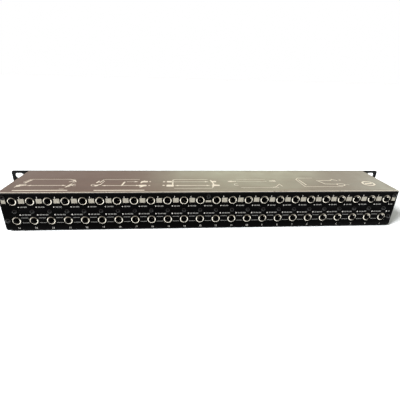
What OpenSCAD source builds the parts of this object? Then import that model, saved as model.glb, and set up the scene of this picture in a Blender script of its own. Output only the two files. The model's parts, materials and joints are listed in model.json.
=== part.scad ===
// Audio patch bay: a one-unit 19 inch rack box with two rows of 6.35 mm
// three-pole jacks on its front, two more rows on its back, one circuit board
// per channel and a three-position mode switch for every channel.
// Millimetres. X runs along the rack, Y from the front panel to the rear panel
// and Z up. The origin is the middle of the four rack slots, in the plane where
// the back of the ears meets the rack rails.

/* [Rack panel] */
// Width of the front panel over both ears
panel_w = 482.6; // [482:0.1:483.4]
// Height of the front panel and of the box behind it
panel_h = 44.4; // [44:0.1:44.4]
// Thickness of the front panel
front_t = 2; // [1.6:0.1:3]
// Corner radius of the front panel
panel_corner_r = 2; // [1:0.5:3]
// Distance between the left and right rack slots
slot_spacing_x = 465.1; // [464.5:0.1:465.9]
// Distance between the upper and lower rack slots
slot_spacing_z = 31.75; // [31:0.05:32]
// Height of a rack slot
slot_h = 6.8; // [6.4:0.1:7.2]
// Length of a rack slot, end to end
slot_l = 10.2; // [9:0.1:12]

/* [Chassis] */
// Width of the box
body_w = 440; // [438:0.5:444]
// Depth of the box, from the back of the ears to the outside of the rear panel
body_d = 72; // [72:0.5:90]
// Thickness of the rear panel, the tray and their flanges
sheet_t = 1.2; // [1:0.1:1.2]
// Thickness of the lid
lid_t = 1.5; // [1.4:0.1:1.6]
// Outside radius of the tray's long bends
bend_r = 2.5; // [1.5:0.5:3]
// Radius of the rolled rear edge of the lid
lid_edge_r = 1.2; // [0.8:0.1:1.3]

/* [Jacks] */
// Number of channels, each with two jacks in front and two behind
channels = 24; // [24:1:24]
// Distance between neighbouring jacks in a row
pitch = 18; // [17.8:0.05:18]
// Distance between the upper and the lower row
row_spacing = 22.8; // [22.6:0.1:23]
// Height of the middle of the two rows above the middle of the box
row_lift = 0.8; // [0.5:0.1:1]
// Bore of a jack
jack_bore = 6.4; // [6.38:0.01:6.45]
// Outside diameter of the metal nose of a jack
nose_d = 9.4; // [9:0.1:9.6]
// How far the nose stands out of its panel
nose_proud = 0.9; // [0.4:0.1:1.5]

/* [Mode switches] */
// Travel of a switch lever to each side of its middle stop
switch_travel = 2; // [1.6:0.1:2]
// How far a switch lever stands out of the front panel
lever_proud = 3; // [2:0.5:5]

/* [Hidden] */
eps = 0.01;
$fn = 48;

half_h = panel_h / 2;
half_w = body_w / 2;
inner_d = body_d - sheet_t;        // inside face of the rear panel
lid_under = half_h - lid_t;        // underside of the lid
floor_top = -half_h + sheet_t;     // inside face of the tray's bottom
row_top = row_lift + row_spacing / 2;
row_low = row_lift - row_spacing / 2;
function column(c) = (c - (channels + 1) / 2) * pitch;

// jack body, axis along its own +Y, which points out of the panel
jack_w = 11.4;
jack_tall = 12.6;
jack_depth = 29.2;
nose_seat_d = 10.6;    // collar that keeps the nose in the body
nose_seat_t = 1;
nose_depth = 3.5;
cavity_d = 7;
cavity_depth = 28;
pocket_w = 3;
pocket_high = 5.4;
pocket_front = 4;
leaf_t = 0.4;
leaf_w = 2.4;
leaf_z = 4.1;          // height of a spring leaf above the bore's axis
tail_w = 1;
tail_slot = 0.2;       // room around a solder tail
tail_end = 7.9;
dimple_r = 0.6;
// spring leaves: [front end, back end, tail place, side of the bore]
tip_leaf = [-18, -26.5, -20, 1];
ring_leaf = [-10.5, -17.5, -13, -1];
sleeve_leaf = [-5, -9.6, -8.5, -1];
normal_leaf = [-22, -27, -24.5, 1];
normal_lift = 0.75;    // a break contact lies this far above the tip leaf

// channel board
board_t = 1.6;
board_x = 5.9;         // gap between a jack's axis and the board's near face
board_front = 3.8;
board_back = 64.6;
board_low = -19.8;
board_high = 18.8;
via_r = 0.75;

// screws
screw_shank_d = 2.9;
screw_hole_d = 3.1;
screw_head_d = 5.6;
screw_head_h = 1.9;
screw_len = 6;
nut_d = 5.6;
nut_t = 2.2;
end_screw_x = 216;
lid_screw_z = 16.4;
module_screw_z = 0.2;
flange_in = 213.4;     // inner edge of the flanges at the ends of the box
side_screws_y = [14, 58];

// module bracket behind each module screw
bracket_w = 8;
bracket_tall = 9;
bracket_depth = 10;
leg_r = 0.9;

// switch
housing_w = 11.2;
housing_tall = 8;
housing_depth = 7.4;
housing_wall = 1.1;
lever_w = 3;
lever_tall = 2.8;
slide_w = housing_w - 2 * housing_wall - 2 * switch_travel - 0.4;
slide_tall = 5;
slide_y = [1.3, 3.5];
wiper_t = 0.6;
wiper_gap = 0.05;
terminal_y = 4.4;
terminal_t = 0.5;
terminal_z = [-1.9, 0, 1.9];
lever_slot_w = lever_w + 2 * switch_travel + 0.8;
lever_slot_tall = lever_tall + 0.8;

// guides that the boards stand in
guide_y = [32, 38.6];
guide_h = 6;
film_t = 0.4;

function two_digits(n) = str(n < 10 ? "0" : "", n);
function switch_name(c) = str("mode_switch_", two_digits(c));

// ---------------------------------------------------------------- helpers

// a hole along Y from y0 to y1
module hole_y(d, y0, y1) {
    translate([0, y0, 0]) rotate([-90, 0, 0]) cylinder(d = d, h = y1 - y0);
}

// a box between two corners
module block(low, high) {
    translate(low) cube(high - low);
}

// puts its children at every channel of a row at height z
module each_channel(z = 0) {
    for (c = [1 : channels]) translate([column(c), 0, z]) children();
}

// turns a jack, whose axis points along +Y, to face out of the front panel
module facing_front() {
    mirror([0, 1, 0]) children();
}

// moves a jack to the inside face of the rear panel
module facing_rear() {
    translate([0, inner_d, 0]) children();
}

// all four rows of jacks
module each_jack() {
    for (z = [row_top, row_low]) each_channel(z) {
        facing_front() children();
        facing_rear() children();
    }
}

// pan-head screw, driven along -Y, with its head's seat at y = 0
module pan_screw(len) {
    difference() {
        union() {
            rotate([-90, 0, 0]) rotate_extrude() intersection() {
                square([screw_head_d / 2, screw_head_h]);
                translate([0, screw_head_h - 3.1]) circle(r = 3.1, $fn = 96);
            }
            hole_y(screw_shank_d, -len, eps);
        }
        for (a = [0, 90]) rotate([0, a, 0])
            block([-1.6, screw_head_h - 1, -0.35], [1.6, screw_head_h + 1, 0.35]);
    }
}

// rows of jack holes through a panel
module jack_holes(y0, y1) {
    for (z = [row_top, row_low]) each_channel(z) hole_y(nose_d + 0.2, y0, y1);
}

// ----------------------------------------------------------------- chassis

module rounded_plate(w, h, r) {
    square([w - 2 * r, h], center = true);
    square([w, h - 2 * r], center = true);
    for (x = [-1, 1], y = [-1, 1]) translate([x * (w / 2 - r), y * (h / 2 - r)]) circle(r = r);
}

module rack_slot() {
    span = (slot_l - slot_h) / 2;
    square([2 * span, slot_h], center = true);
    for (x = [-span, span]) translate([x, 0]) circle(d = slot_h);
}

module front_panel() {
    color("#1b1b1d") difference() {
        rotate([90, 0, 0]) linear_extrude(front_t) difference() {
            rounded_plate(panel_w, panel_h, panel_corner_r);
            for (x = [-0.5, 0.5], z = [-0.5, 0.5])
                translate([x * slot_spacing_x, z * slot_spacing_z]) rack_slot();
            for (c = [1 : channels]) translate([column(c), row_lift])
                square([lever_slot_w, lever_slot_tall], center = true);
        }
        jack_holes(-front_t - 1, 1);
        for (x = [-end_screw_x, end_screw_x], z = [row_low, lid_screw_z]) translate([x, 0, z])
            hole_y(screw_hole_d, -front_t - 1, 1);
    }
}

// the rear panel's lower corners follow the tray's bends
module rear_panel() {
    low = -half_h;
    color("#1d1d1f") difference() {
        translate([0, inner_d, 0]) rotate([-90, 0, 0]) mirror([0, 1, 0]) linear_extrude(sheet_t) {
            translate([-half_w, low + bend_r]) square([body_w, lid_under - low - bend_r]);
            translate([-half_w + bend_r, low]) square([body_w - 2 * bend_r, bend_r + 1]);
            for (x = [-1, 1]) translate([x * (half_w - bend_r), low + bend_r]) circle(r = bend_r);
        }
        jack_holes(inner_d - 1, body_d + 1);
        each_channel(module_screw_z) hole_y(screw_hole_d, inner_d - 1, body_d + 1);
        for (x = [-end_screw_x, end_screw_x]) translate([x, 0, row_low])
            hole_y(screw_hole_d, inner_d - 1, body_d + 1);
        for (x = [-end_screw_x, 0, end_screw_x]) translate([x, 0, lid_screw_z])
            hole_y(screw_hole_d, inner_d - 1, body_d + 1);
    }
}

// half of the tray's section, in the XZ plane
module tray_section() {
    r = bend_r;
    difference() {
        union() {
            translate([-half_w, -half_h + r]) square([body_w, lid_under + half_h - r]);
            translate([-half_w + r, -half_h]) square([body_w - 2 * r, r + 1]);
            for (x = [-1, 1]) translate([x * (half_w - r), -half_h + r]) circle(r = r);
        }
        translate([-half_w + sheet_t, floor_top + r])
            square([body_w - 2 * sheet_t, panel_h]);
        translate([-half_w + r + sheet_t, floor_top]) square([body_w - 2 * (r + sheet_t), panel_h]);
        for (x = [-1, 1]) translate([x * (half_w - r - sheet_t), floor_top + r]) circle(r = r);
    }
}

module chassis_tray() {
    side_in = half_w - sheet_t;
    color("#202022") difference() {
        union() {
            rotate([-90, 0, 0]) mirror([0, 1, 0]) linear_extrude(inner_d) tray_section();
            for (s = [-1, 1]) {
                // front flange, behind the front panel
                block([s > 0 ? flange_in : -side_in - eps, 0, -18],
                      [s > 0 ? side_in + eps : -flange_in, sheet_t, lid_under]);
                // rear flange, in front of the rear panel, below the lid's tab
                block([s > 0 ? flange_in : -side_in - eps, inner_d - sheet_t, -18],
                      [s > 0 ? side_in + eps : -flange_in, inner_d, row_low + 7]);
            }
        }
        for (x = [-end_screw_x, end_screw_x]) {
            for (z = [row_low, lid_screw_z]) translate([x, 0, z]) hole_y(screw_hole_d, -1, 2);
            translate([x, 0, row_low]) hole_y(screw_hole_d, inner_d - 2, inner_d + 1);
        }
        for (y = side_screws_y) translate([-half_w - 1, y, lid_screw_z])
            rotate([0, 90, 0]) cylinder(d = screw_hole_d, h = body_w + 2);
    }
}

// section of the lid's flat sheet, in the YZ plane
module lid_section() {
    r = lid_edge_r;
    intersection() {
        translate([0, lid_under]) square([body_d, lid_t]);
        union() {
            translate([0, lid_under]) square([body_d - r, lid_t]);
            translate([0, lid_under]) square([body_d, lid_t - r]);
            translate([body_d - r, half_h - r]) circle(r = r);
        }
    }
}

// the lid lies on the tray and the rear panel, with tabs bent down inside them
module top_lid() {
    side_out = half_w - sheet_t - 0.1;
    color("#5d5650") difference() {
        union() {
            translate([-half_w, 0, 0]) rotate([90, 0, 90]) linear_extrude(body_w) lid_section();
            // rear tabs
            block([-3.1, inner_d - sheet_t, 12.6], [3.1, inner_d, lid_under + eps]);
            for (s = [-1, 1]) {
                block([s > 0 ? flange_in : -side_out, inner_d - sheet_t, 12.6],
                      [s > 0 ? side_out : -flange_in, inner_d, lid_under + eps]);
                // side flange
                block([s > 0 ? side_out - sheet_t : -side_out, 8, 12.6],
                      [s > 0 ? side_out : sheet_t - side_out, 64, lid_under + eps]);
            }
        }
        for (x = [-end_screw_x, 0, end_screw_x]) translate([x, 0, lid_screw_z])
            hole_y(screw_hole_d, inner_d - 2, inner_d + 0.5);
        for (y = side_screws_y) translate([-half_w - 1, y, lid_screw_z])
            rotate([0, 90, 0]) cylinder(d = screw_hole_d, h = body_w + 2);
    }
}

// ------------------------------------------------------------------ screws

module front_panel_screws() {
    color("#141414") for (x = [-end_screw_x, end_screw_x], z = [row_low, lid_screw_z])
        translate([x, -front_t, z]) mirror([0, 1, 0]) pan_screw(screw_len);
}

module rear_panel_screws() {
    color("#141414") for (x = [-end_screw_x, end_screw_x])
        translate([x, body_d, row_low]) pan_screw(screw_len);
}

module lid_rear_screws() {
    color("#141414") for (x = [-end_screw_x, 0, end_screw_x])
        translate([x, body_d, lid_screw_z]) pan_screw(screw_len);
}

module lid_side_screws() {
    color("#141414") for (s = [-1, 1], y = side_screws_y)
        translate([s * half_w, y, lid_screw_z]) rotate([0, 0, s * -90]) pan_screw(screw_len - 1);
}

module module_screws() {
    color("#141414") each_channel(module_screw_z)
        translate([0, body_d, 0]) pan_screw(screw_len + 2);
}

// round press nut with its face at y = 0, going towards -Y
module press_nut() {
    difference() {
        hole_y(nut_d, -nut_t, 0);
        hole_y(screw_hole_d, -nut_t - 1, 1);
    }
}

module press_nuts() {
    lid_side = half_w - 2 * sheet_t - 0.1;
    color("silver") {
        for (x = [-end_screw_x, 0, end_screw_x])
            translate([x, inner_d - sheet_t, lid_screw_z]) press_nut();
        for (x = [-end_screw_x, end_screw_x]) {
            translate([x, inner_d - sheet_t, row_low]) press_nut();
            for (z = [row_low, lid_screw_z])
                translate([x, sheet_t, z]) mirror([0, 1, 0]) press_nut();
        }
        for (s = [-1, 1], y = side_screws_y)
            translate([s * lid_side, y, lid_screw_z]) rotate([0, 0, s * -90]) press_nut();
    }
}

// ------------------------------------------------------------------- jacks

// pocket for a spring leaf on one side of the bore, open to the bore
module leaf_pocket(back, side) {
    mirror([0, 0, side > 0 ? 0 : 1])
        block([-pocket_w / 2, back - 1, 0], [pocket_w / 2, -pocket_front, pocket_high]);
}

// way out of the body for a solder tail
module tail_way(place, z) {
    block([0, place - tail_w / 2 - tail_slot, z - leaf_t / 2 - tail_slot],
          [jack_w, place + tail_w / 2 + tail_slot, z + leaf_t / 2 + tail_slot]);
}

module jack_body() {
    difference() {
        block([-jack_w / 2, -jack_depth, -jack_tall / 2], [jack_w / 2, 0, jack_tall / 2]);
        hole_y(cavity_d, -cavity_depth, 1);
        hole_y(nose_d + 0.1, -nose_depth, 1);
        hole_y(nose_seat_d + 0.1, -nose_depth, nose_seat_t - nose_depth + 0.1);
        leaf_pocket(normal_leaf[1], 1);
        leaf_pocket(ring_leaf[1], -1);
        tail_way(tip_leaf[2], leaf_z);
        tail_way(normal_leaf[2], leaf_z + normal_lift);
        tail_way(ring_leaf[2], -leaf_z);
        tail_way(sleeve_leaf[2], -leaf_z);
    }
}

// metal nose: a tube with a collar inside the body and a rounded mouth outside
module jack_nose(wall) {
    mouth = wall + nose_proud;
    bore = jack_bore / 2;
    rim = nose_d / 2;
    mid = (bore + rim) / 2;
    round_r = (rim - bore) / 2;
    rotate([-90, 0, 0]) rotate_extrude($fn = 64) {
        translate([bore, -nose_depth]) square([rim - bore, nose_depth + mouth - round_r]);
        translate([bore, -nose_depth]) square([nose_seat_d / 2 - bore, nose_seat_t]);
        intersection() {
            translate([mid, mouth - round_r]) circle(r = round_r);
            translate([bore, mouth - round_r - 1]) square([rim - bore, round_r + 1]);
        }
    }
}

// spring leaf with a dimple towards the plug and a tail into the board
module spring(leaf, lift = 0) {
    front = leaf[0];
    back = leaf[1];
    mirror([0, 0, leaf[3] > 0 ? 0 : 1]) translate([0, 0, leaf_z + lift - leaf_t / 2]) {
        block([-leaf_w / 2, back, 0], [leaf_w / 2, front, leaf_t]);
        block([0, leaf[2] - tail_w / 2, 0], [tail_end, leaf[2] + tail_w / 2, leaf_t]);
        if (lift == 0) translate([-leaf_w / 2, back + 2, 0.1]) rotate([0, 90, 0])
            cylinder(r = dimple_r, h = leaf_w);
    }
}

module front_row_bodies(z) {
    color("#26262a") each_channel(z) facing_front() jack_body();
}

module rear_row_bodies(z) {
    color("#26262a") each_channel(z) facing_rear() jack_body();
}

module front_upper_jack_bodies() { front_row_bodies(row_top); }
module front_lower_jack_bodies() { front_row_bodies(row_low); }
module rear_upper_jack_bodies() { rear_row_bodies(row_top); }
module rear_lower_jack_bodies() { rear_row_bodies(row_low); }

module front_row_noses(z) {
    color("#c9b68c") each_channel(z) facing_front() jack_nose(front_t);
}

module rear_row_noses(z) {
    color("#c9b68c") each_channel(z) facing_rear() jack_nose(sheet_t);
}

module front_upper_jack_noses() { front_row_noses(row_top); }
module front_lower_jack_noses() { front_row_noses(row_low); }
module rear_upper_jack_noses() { rear_row_noses(row_top); }
module rear_lower_jack_noses() { rear_row_noses(row_low); }

module tip_springs() { color("silver") each_jack() spring(tip_leaf); }
module ring_springs() { color("silver") each_jack() spring(ring_leaf); }
module sleeve_springs() { color("silver") each_jack() spring(sleeve_leaf); }

// break contacts of the front jacks, which carry the normalled signal
module normalling_springs() {
    color("silver") for (z = [row_top, row_low])
        each_channel(z) facing_front() spring(normal_leaf, normal_lift);
}

// ------------------------------------------------------------------ boards

// plated holes through a board for one jack, on the jack's own Y axis
module jack_vias(with_normal) {
    for (leaf = [tip_leaf, ring_leaf, sleeve_leaf])
        translate([0, leaf[2], leaf[3] * leaf_z]) via(via_r);
    if (with_normal) translate([0, normal_leaf[2], leaf_z + normal_lift]) via(via_r);
}

module via(r) {
    translate([board_x - 1, 0, 0]) rotate([0, 90, 0]) cylinder(r = r, h = board_t + 2);
}

module channel_board() {
    difference() {
        block([board_x, board_front, board_low], [board_x + board_t, board_back, board_high]);
        for (z = [row_top, row_low]) translate([0, 0, z]) {
            facing_front() jack_vias(true);
            facing_rear() jack_vias(false);
        }
        for (z = terminal_z) translate([0, terminal_y + terminal_t / 2, row_lift + z]) via(via_r);
        translate([0, inner_d - bracket_depth + 2, row_lift]) via(leg_r + 0.1);
    }
}

module channel_boards() {
    color("#1f5f38") each_channel() channel_board();
}

// tapped block between the rear jacks, soldered to the board by one leg
module module_brackets() {
    near = inner_d - bracket_depth;
    color("silver") each_channel() difference() {
        union() {
            block([-bracket_w / 2, near, row_lift - bracket_tall / 2],
                  [board_x, inner_d, row_lift + bracket_tall / 2]);
            translate([board_x - eps, near + 2, row_lift]) rotate([0, 90, 0])
                cylinder(r = leg_r, h = board_t + 0.6);
        }
        translate([0, 0, module_screw_z]) hole_y(screw_hole_d, near - 1, inner_d + 1);
    }
}

// slotted rail on the floor that holds the lower edges of the boards
module board_guide() {
    low = floor_top + film_t;
    color("#e8e4da") difference() {
        block([-column(channels) - 6, guide_y[0], low],
              [column(channels) + board_x + board_t + 3, guide_y[1], low + guide_h]);
        each_channel() block([board_x - 0.1, guide_y[0] - 1, board_low - 0.1],
                             [board_x + board_t + 0.1, guide_y[1] + 1, low + guide_h + 1]);
    }
}

module floor_insulation() {
    color("#d8c99a") block([-half_w + 8, 6, floor_top], [half_w - 8, inner_d - 6, floor_top + film_t]);
}

// ---------------------------------------------------------------- switches

module switch_housing() {
    w = housing_w / 2;
    h = housing_tall / 2;
    difference() {
        block([-w, 0.1, -h], [w, housing_depth, h]);
        block([-w + housing_wall, slide_y[0] - 0.1, -slide_tall / 2 - 0.1],
              [w - housing_wall, housing_depth - housing_wall, slide_tall / 2 + 0.1]);
        block([-lever_slot_w / 2, -1, -lever_slot_tall / 2],
              [lever_slot_w / 2, 2, lever_slot_tall / 2]);
        for (z = terminal_z) block([0, terminal_y - 0.1, z - 0.6], [w + 1, terminal_y + terminal_t + 0.1, z + 0.6]);
    }
}

module switch_housings() {
    color("#2a2a2c") each_channel(row_lift) switch_housing();
}

module switch_terminals() {
    color("silver") each_channel(row_lift) for (z = terminal_z)
        block([-2.5, terminal_y, z - 0.5], [tail_end, terminal_y + terminal_t, z + 0.5]);
}

// lever with its slider, and the bronze wiper that the slider carries
module mode_switch(c) {
    translate([column(c), 0, row_lift]) {
        color("#e6e6e2") {
            block([-lever_w / 2, -front_t - lever_proud, -lever_tall / 2],
                  [lever_w / 2, slide_y[0] + eps, lever_tall / 2]);
            block([-slide_w / 2, slide_y[0], -slide_tall / 2], [slide_w / 2, slide_y[1], slide_tall / 2]);
        }
        color("#b08d57") block([-slide_w / 2 + 0.4, slide_y[1] + wiper_gap, -slide_tall / 2 + 0.3],
                               [slide_w / 2 - 0.4, slide_y[1] + wiper_t, slide_tall / 2 - 0.3]);
    }
}

front_panel();
rear_panel();
chassis_tray();
top_lid();
front_panel_screws();
rear_panel_screws();
lid_rear_screws();
lid_side_screws();
module_screws();
press_nuts();
front_upper_jack_bodies();
front_lower_jack_bodies();
rear_upper_jack_bodies();
rear_lower_jack_bodies();
front_upper_jack_noses();
front_lower_jack_noses();
rear_upper_jack_noses();
rear_lower_jack_noses();
tip_springs();
ring_springs();
sleeve_springs();
normalling_springs();
channel_boards();
module_brackets();
board_guide();
floor_insulation();
switch_housings();
switch_terminals();
for (c = [1 : channels]) mode_switch(c);
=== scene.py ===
"""Looks of a one-unit, 24-channel audio patch bay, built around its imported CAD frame.

The box stands on its tray with the rear panel towards the camera.  Panels, lid, jack
noses, screws, switch levers and all the print are made here.  The tray and everything
inside the box are the CAD nodes themselves, each with a finish of its own.
Lengths are millimetres until a mesh is placed; Blender and the frame use metres.
"""

import json
import logging
import math
from collections.abc import Callable, Iterable, Sequence
from dataclasses import dataclass, field
from enum import Enum

import bmesh
import bpy
from mathutils import Matrix, Quaternion, Vector


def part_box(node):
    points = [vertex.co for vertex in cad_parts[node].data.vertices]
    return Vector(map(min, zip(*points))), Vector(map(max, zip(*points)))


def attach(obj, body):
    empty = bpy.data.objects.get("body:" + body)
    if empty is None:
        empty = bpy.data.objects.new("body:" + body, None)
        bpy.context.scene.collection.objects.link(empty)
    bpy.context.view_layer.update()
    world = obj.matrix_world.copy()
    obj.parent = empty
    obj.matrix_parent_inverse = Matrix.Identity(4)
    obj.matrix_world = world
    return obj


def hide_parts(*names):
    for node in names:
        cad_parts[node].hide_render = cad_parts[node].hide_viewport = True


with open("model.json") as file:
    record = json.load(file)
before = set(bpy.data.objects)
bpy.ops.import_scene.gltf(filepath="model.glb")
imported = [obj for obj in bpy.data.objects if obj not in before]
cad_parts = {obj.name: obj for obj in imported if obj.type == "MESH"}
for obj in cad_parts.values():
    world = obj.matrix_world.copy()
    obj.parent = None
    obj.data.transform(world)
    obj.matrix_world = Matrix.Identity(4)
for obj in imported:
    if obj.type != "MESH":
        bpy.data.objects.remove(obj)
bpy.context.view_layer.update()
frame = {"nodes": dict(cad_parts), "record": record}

LOG = logging.getLogger("patch_bay")
MM = 0.001
CHASSIS = "chassis"
RIGHT = Vector((1.0, 0.0, 0.0))
BACK = Vector((0.0, 1.0, 0.0))
UP = Vector((0.0, 0.0, 1.0))
ORIGIN = Vector((0.0, 0.0, 0.0))
TURNING = "turning"
RIM = "rim"
WELD_REACH = 0.0005
SLIVER = 0.0001
FLAT_ENOUGH = 0.995

Colour = tuple[float, float, float]
Loop = list[tuple[float, float]]
Socket = bpy.types.NodeSocket


class Side(Enum):
    """The two faces of the box that carry jacks."""

    FRONT = "front"
    REAR = "rear"


class Row(Enum):
    """The two rows of jacks on each face."""

    UPPER = "upper"
    LOWER = "lower"


class Heading(Enum):
    """The way that an arrow or a plug drawn in ink points, as seen on its face."""

    RIGHT = 1.0
    LEFT = -1.0


# --------------------------------------------------------------------------- places


@dataclass(frozen=True)
class Face:
    """A flat outer face, with its own right, up and outward directions."""

    origin: Vector
    right: Vector
    up: Vector

    @property
    def out(self) -> Vector:
        """The direction that the face looks in."""
        return self.right.cross(self.up)

    @property
    def matrix(self) -> Matrix:
        """Takes millimetres along right, up and out to metres in the row frame."""
        turned = Matrix((self.right, self.up, self.out)).transposed().to_4x4()
        return Matrix.Translation(self.origin) @ turned @ Matrix.Scale(MM, 4)

    def across(self, point: Vector) -> tuple[float, float]:
        """Reads a point of the row frame on this face.

        Args:
            point: A place in the row frame, in metres.

        Returns:
            Its distances along right and up from the origin, in millimetres.
        """
        offset = (point - self.origin) / MM
        return offset.dot(self.right), offset.dot(self.up)


@dataclass(frozen=True)
class Layout:
    """Where things are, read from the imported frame."""

    faces: dict[Side, Face]
    lid: Face
    jacks: dict[tuple[Side, Row], list[tuple[float, float]]]
    floor_height: float

    @classmethod
    def read(cls) -> "Layout":
        """Reads faces from the CAD nodes' boxes and jack centres from the record's bores.

        Returns:
            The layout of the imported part.
        """
        front_low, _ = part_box("front_panel")
        _, rear_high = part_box("rear_panel")
        _, lid_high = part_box("top_lid")
        faces = {
            Side.FRONT: Face(BACK * front_low.y, RIGHT, UP),
            Side.REAR: Face(BACK * rear_high.y, -RIGHT, UP),
        }
        lid = Face(Vector((0.0, lid_high.y, lid_high.z)), -RIGHT, -BACK)
        mounts = frame["record"]["mounts"]
        jacks: dict[tuple[Side, Row], list[tuple[float, float]]] = {}
        for side in Side:
            for row in Row:
                prefix = f"{side.value}_{row.value}_jack_"
                bores = [Vector(mount["pos_m"]) for mount in mounts if mount["name"].startswith(prefix)]
                jacks[side, row] = sorted(faces[side].across(bore) for bore in bores)
        return cls(faces, lid, jacks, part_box("chassis_tray")[0].z)

    def columns(self, side: Side) -> list[float]:
        """The jack columns of a face, from its left to its right, in millimetres."""
        return [u for u, _ in self.jacks[side, Row.UPPER]]

    def height(self, side: Side, row: Row) -> float:
        """The height of a row of jacks on its face, in millimetres."""
        return self.jacks[side, row][0][1]

    @property
    def pitch(self) -> float:
        """The distance between neighbouring columns, in millimetres."""
        columns = self.columns(Side.REAR)
        return columns[1] - columns[0]


def spread(low: float, high: float, count: int, margin: float) -> list[float]:
    """Places things evenly between two limits.

    Args:
        low: Lower limit of the row of things, edges included.
        high: Upper limit.
        count: How many there are.
        margin: Half the size of each one.

    Returns:
        Their centres.
    """
    first, last = low + margin, high - margin
    if count == 1:
        return [(low + high) / 2]
    return [first + (last - first) * i / (count - 1) for i in range(count)]


# ------------------------------------------------------------------------- outlines


def arc(centre: tuple[float, float], radius: float, start: float, end: float, steps: int) -> Loop:
    """Points along part of a circle.

    Args:
        centre: Middle of the circle.
        radius: Its radius.
        start: First angle in degrees.
        end: Last angle in degrees.
        steps: Number of chords.

    Returns:
        The points from start to end, both included.
    """
    angles = (math.radians(start + (end - start) * i / steps) for i in range(steps + 1))
    return [(centre[0] + radius * math.cos(a), centre[1] + radius * math.sin(a)) for a in angles]


def circle(centre: tuple[float, float], radius: float, steps: int = 48) -> Loop:
    """A whole circle as a closed loop."""
    return arc(centre, radius, 0.0, 360.0, steps)[:-1]


def rounded_box(
    centre: tuple[float, float], width: float, height: float, radius: float, steps: int = 6
) -> Loop:
    """A rectangle with round corners.

    Args:
        centre: Middle of the rectangle.
        width: Size along the first axis.
        height: Size along the second axis.
        radius: Corner radius.
        steps: Chords at each corner.

    Returns:
        Its closed loop, anticlockwise.
    """
    x, y = width / 2 - radius, height / 2 - radius
    corners = [(x, y, 0.0), (-x, y, 90.0), (-x, -y, 180.0), (x, -y, 270.0)]
    loop: Loop = []
    for dx, dy, start in corners:
        loop += arc((centre[0] + dx, centre[1] + dy), radius, start, start + 90.0, steps)
    return loop


def box_loop(left: float, bottom: float, right: float, top: float) -> Loop:
    """A plain rectangle as a closed loop, anticlockwise."""
    return [(left, bottom), (right, bottom), (right, top), (left, top)]


# --------------------------------------------------------------------- mesh building


@dataclass
class Sheet:
    """A flat sheet cut from an outline, with holes and rounded edges on both faces."""

    outline: Loop
    thickness: float
    edge: float
    holes: list[Loop] = field(default_factory=list)
    edge_steps: int = 1

    def press(self, mesh: bmesh.types.BMesh, place: Matrix) -> None:
        """Adds the sheet to a mesh, with its outer face in the place's own XY plane.

        Args:
            mesh: The mesh that takes it.
            place: Takes the sheet's millimetres to the row frame's metres.
        """
        curve = bpy.data.curves.new("sheet", "CURVE")
        curve.dimensions = "2D"
        curve.fill_mode = "BOTH"
        curve.extrude = self.thickness / 2 - self.edge
        curve.bevel_depth = self.edge
        curve.bevel_resolution = self.edge_steps
        curve.offset = -self.edge
        for loop in [self.outline, *self.holes]:
            spline = curve.splines.new("POLY")
            spline.points.add(len(loop) - 1)
            spline.use_cyclic_u = True
            for point, (x, y) in zip(spline.points, loop):
                point.co = (x, y, 0.0, 1.0)
        melted = melt(curve)
        sunk = Matrix.Translation((0.0, 0.0, -self.thickness / 2))
        add_mesh(mesh, melted, place @ sunk)
        bpy.data.meshes.remove(melted)


def melt(data: bpy.types.ID) -> bpy.types.Mesh:
    """Turns a curve or a text into a closed mesh and removes the curve.

    Args:
        data: The curve or text data.

    Returns:
        A new mesh with its loose skins welded together.
    """
    scratch = bpy.data.objects.new("scratch", data)
    bpy.context.scene.collection.objects.link(scratch)
    graph = bpy.context.evaluated_depsgraph_get()
    graph.update()
    mesh = bpy.data.meshes.new_from_object(scratch.evaluated_get(graph))
    bpy.data.objects.remove(scratch)
    bpy.data.curves.remove(data)
    skin = bmesh.new()
    skin.from_mesh(mesh)
    bmesh.ops.remove_doubles(skin, verts=skin.verts, dist=WELD_REACH)
    bmesh.ops.dissolve_degenerate(skin, edges=skin.edges, dist=SLIVER)
    bmesh.ops.recalc_face_normals(skin, faces=skin.faces)
    skin.to_mesh(mesh)
    skin.free()
    return mesh


def add_mesh(mesh: bmesh.types.BMesh, extra: bpy.types.Mesh, place: Matrix) -> None:
    """Copies a ready mesh into another one.

    Args:
        mesh: The mesh that takes the copy.
        extra: What is copied.
        place: Where the copy goes.
    """
    before = len(mesh.verts)
    mesh.from_mesh(extra)
    mesh.verts.ensure_lookup_table()
    bmesh.ops.transform(mesh, matrix=place, verts=mesh.verts[before:])


def prism(mesh: bmesh.types.BMesh, loop: Loop, low: float, high: float, place: Matrix) -> None:
    """Adds a closed prism on a loop.

    Args:
        mesh: The mesh that takes it.
        loop: The prism's outline, anticlockwise.
        low: Height of its lower end.
        high: Height of its upper end.
        place: Takes the prism's millimetres to the row frame's metres.
    """
    lower = [mesh.verts.new(place @ Vector((x, y, low))) for x, y in loop]
    upper = [mesh.verts.new(place @ Vector((x, y, high))) for x, y in loop]
    mesh.faces.new(upper)
    mesh.faces.new(reversed(lower))
    for i in range(len(loop)):
        j = (i + 1) % len(loop)
        mesh.faces.new((lower[i], lower[j], upper[j], upper[i]))


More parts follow.
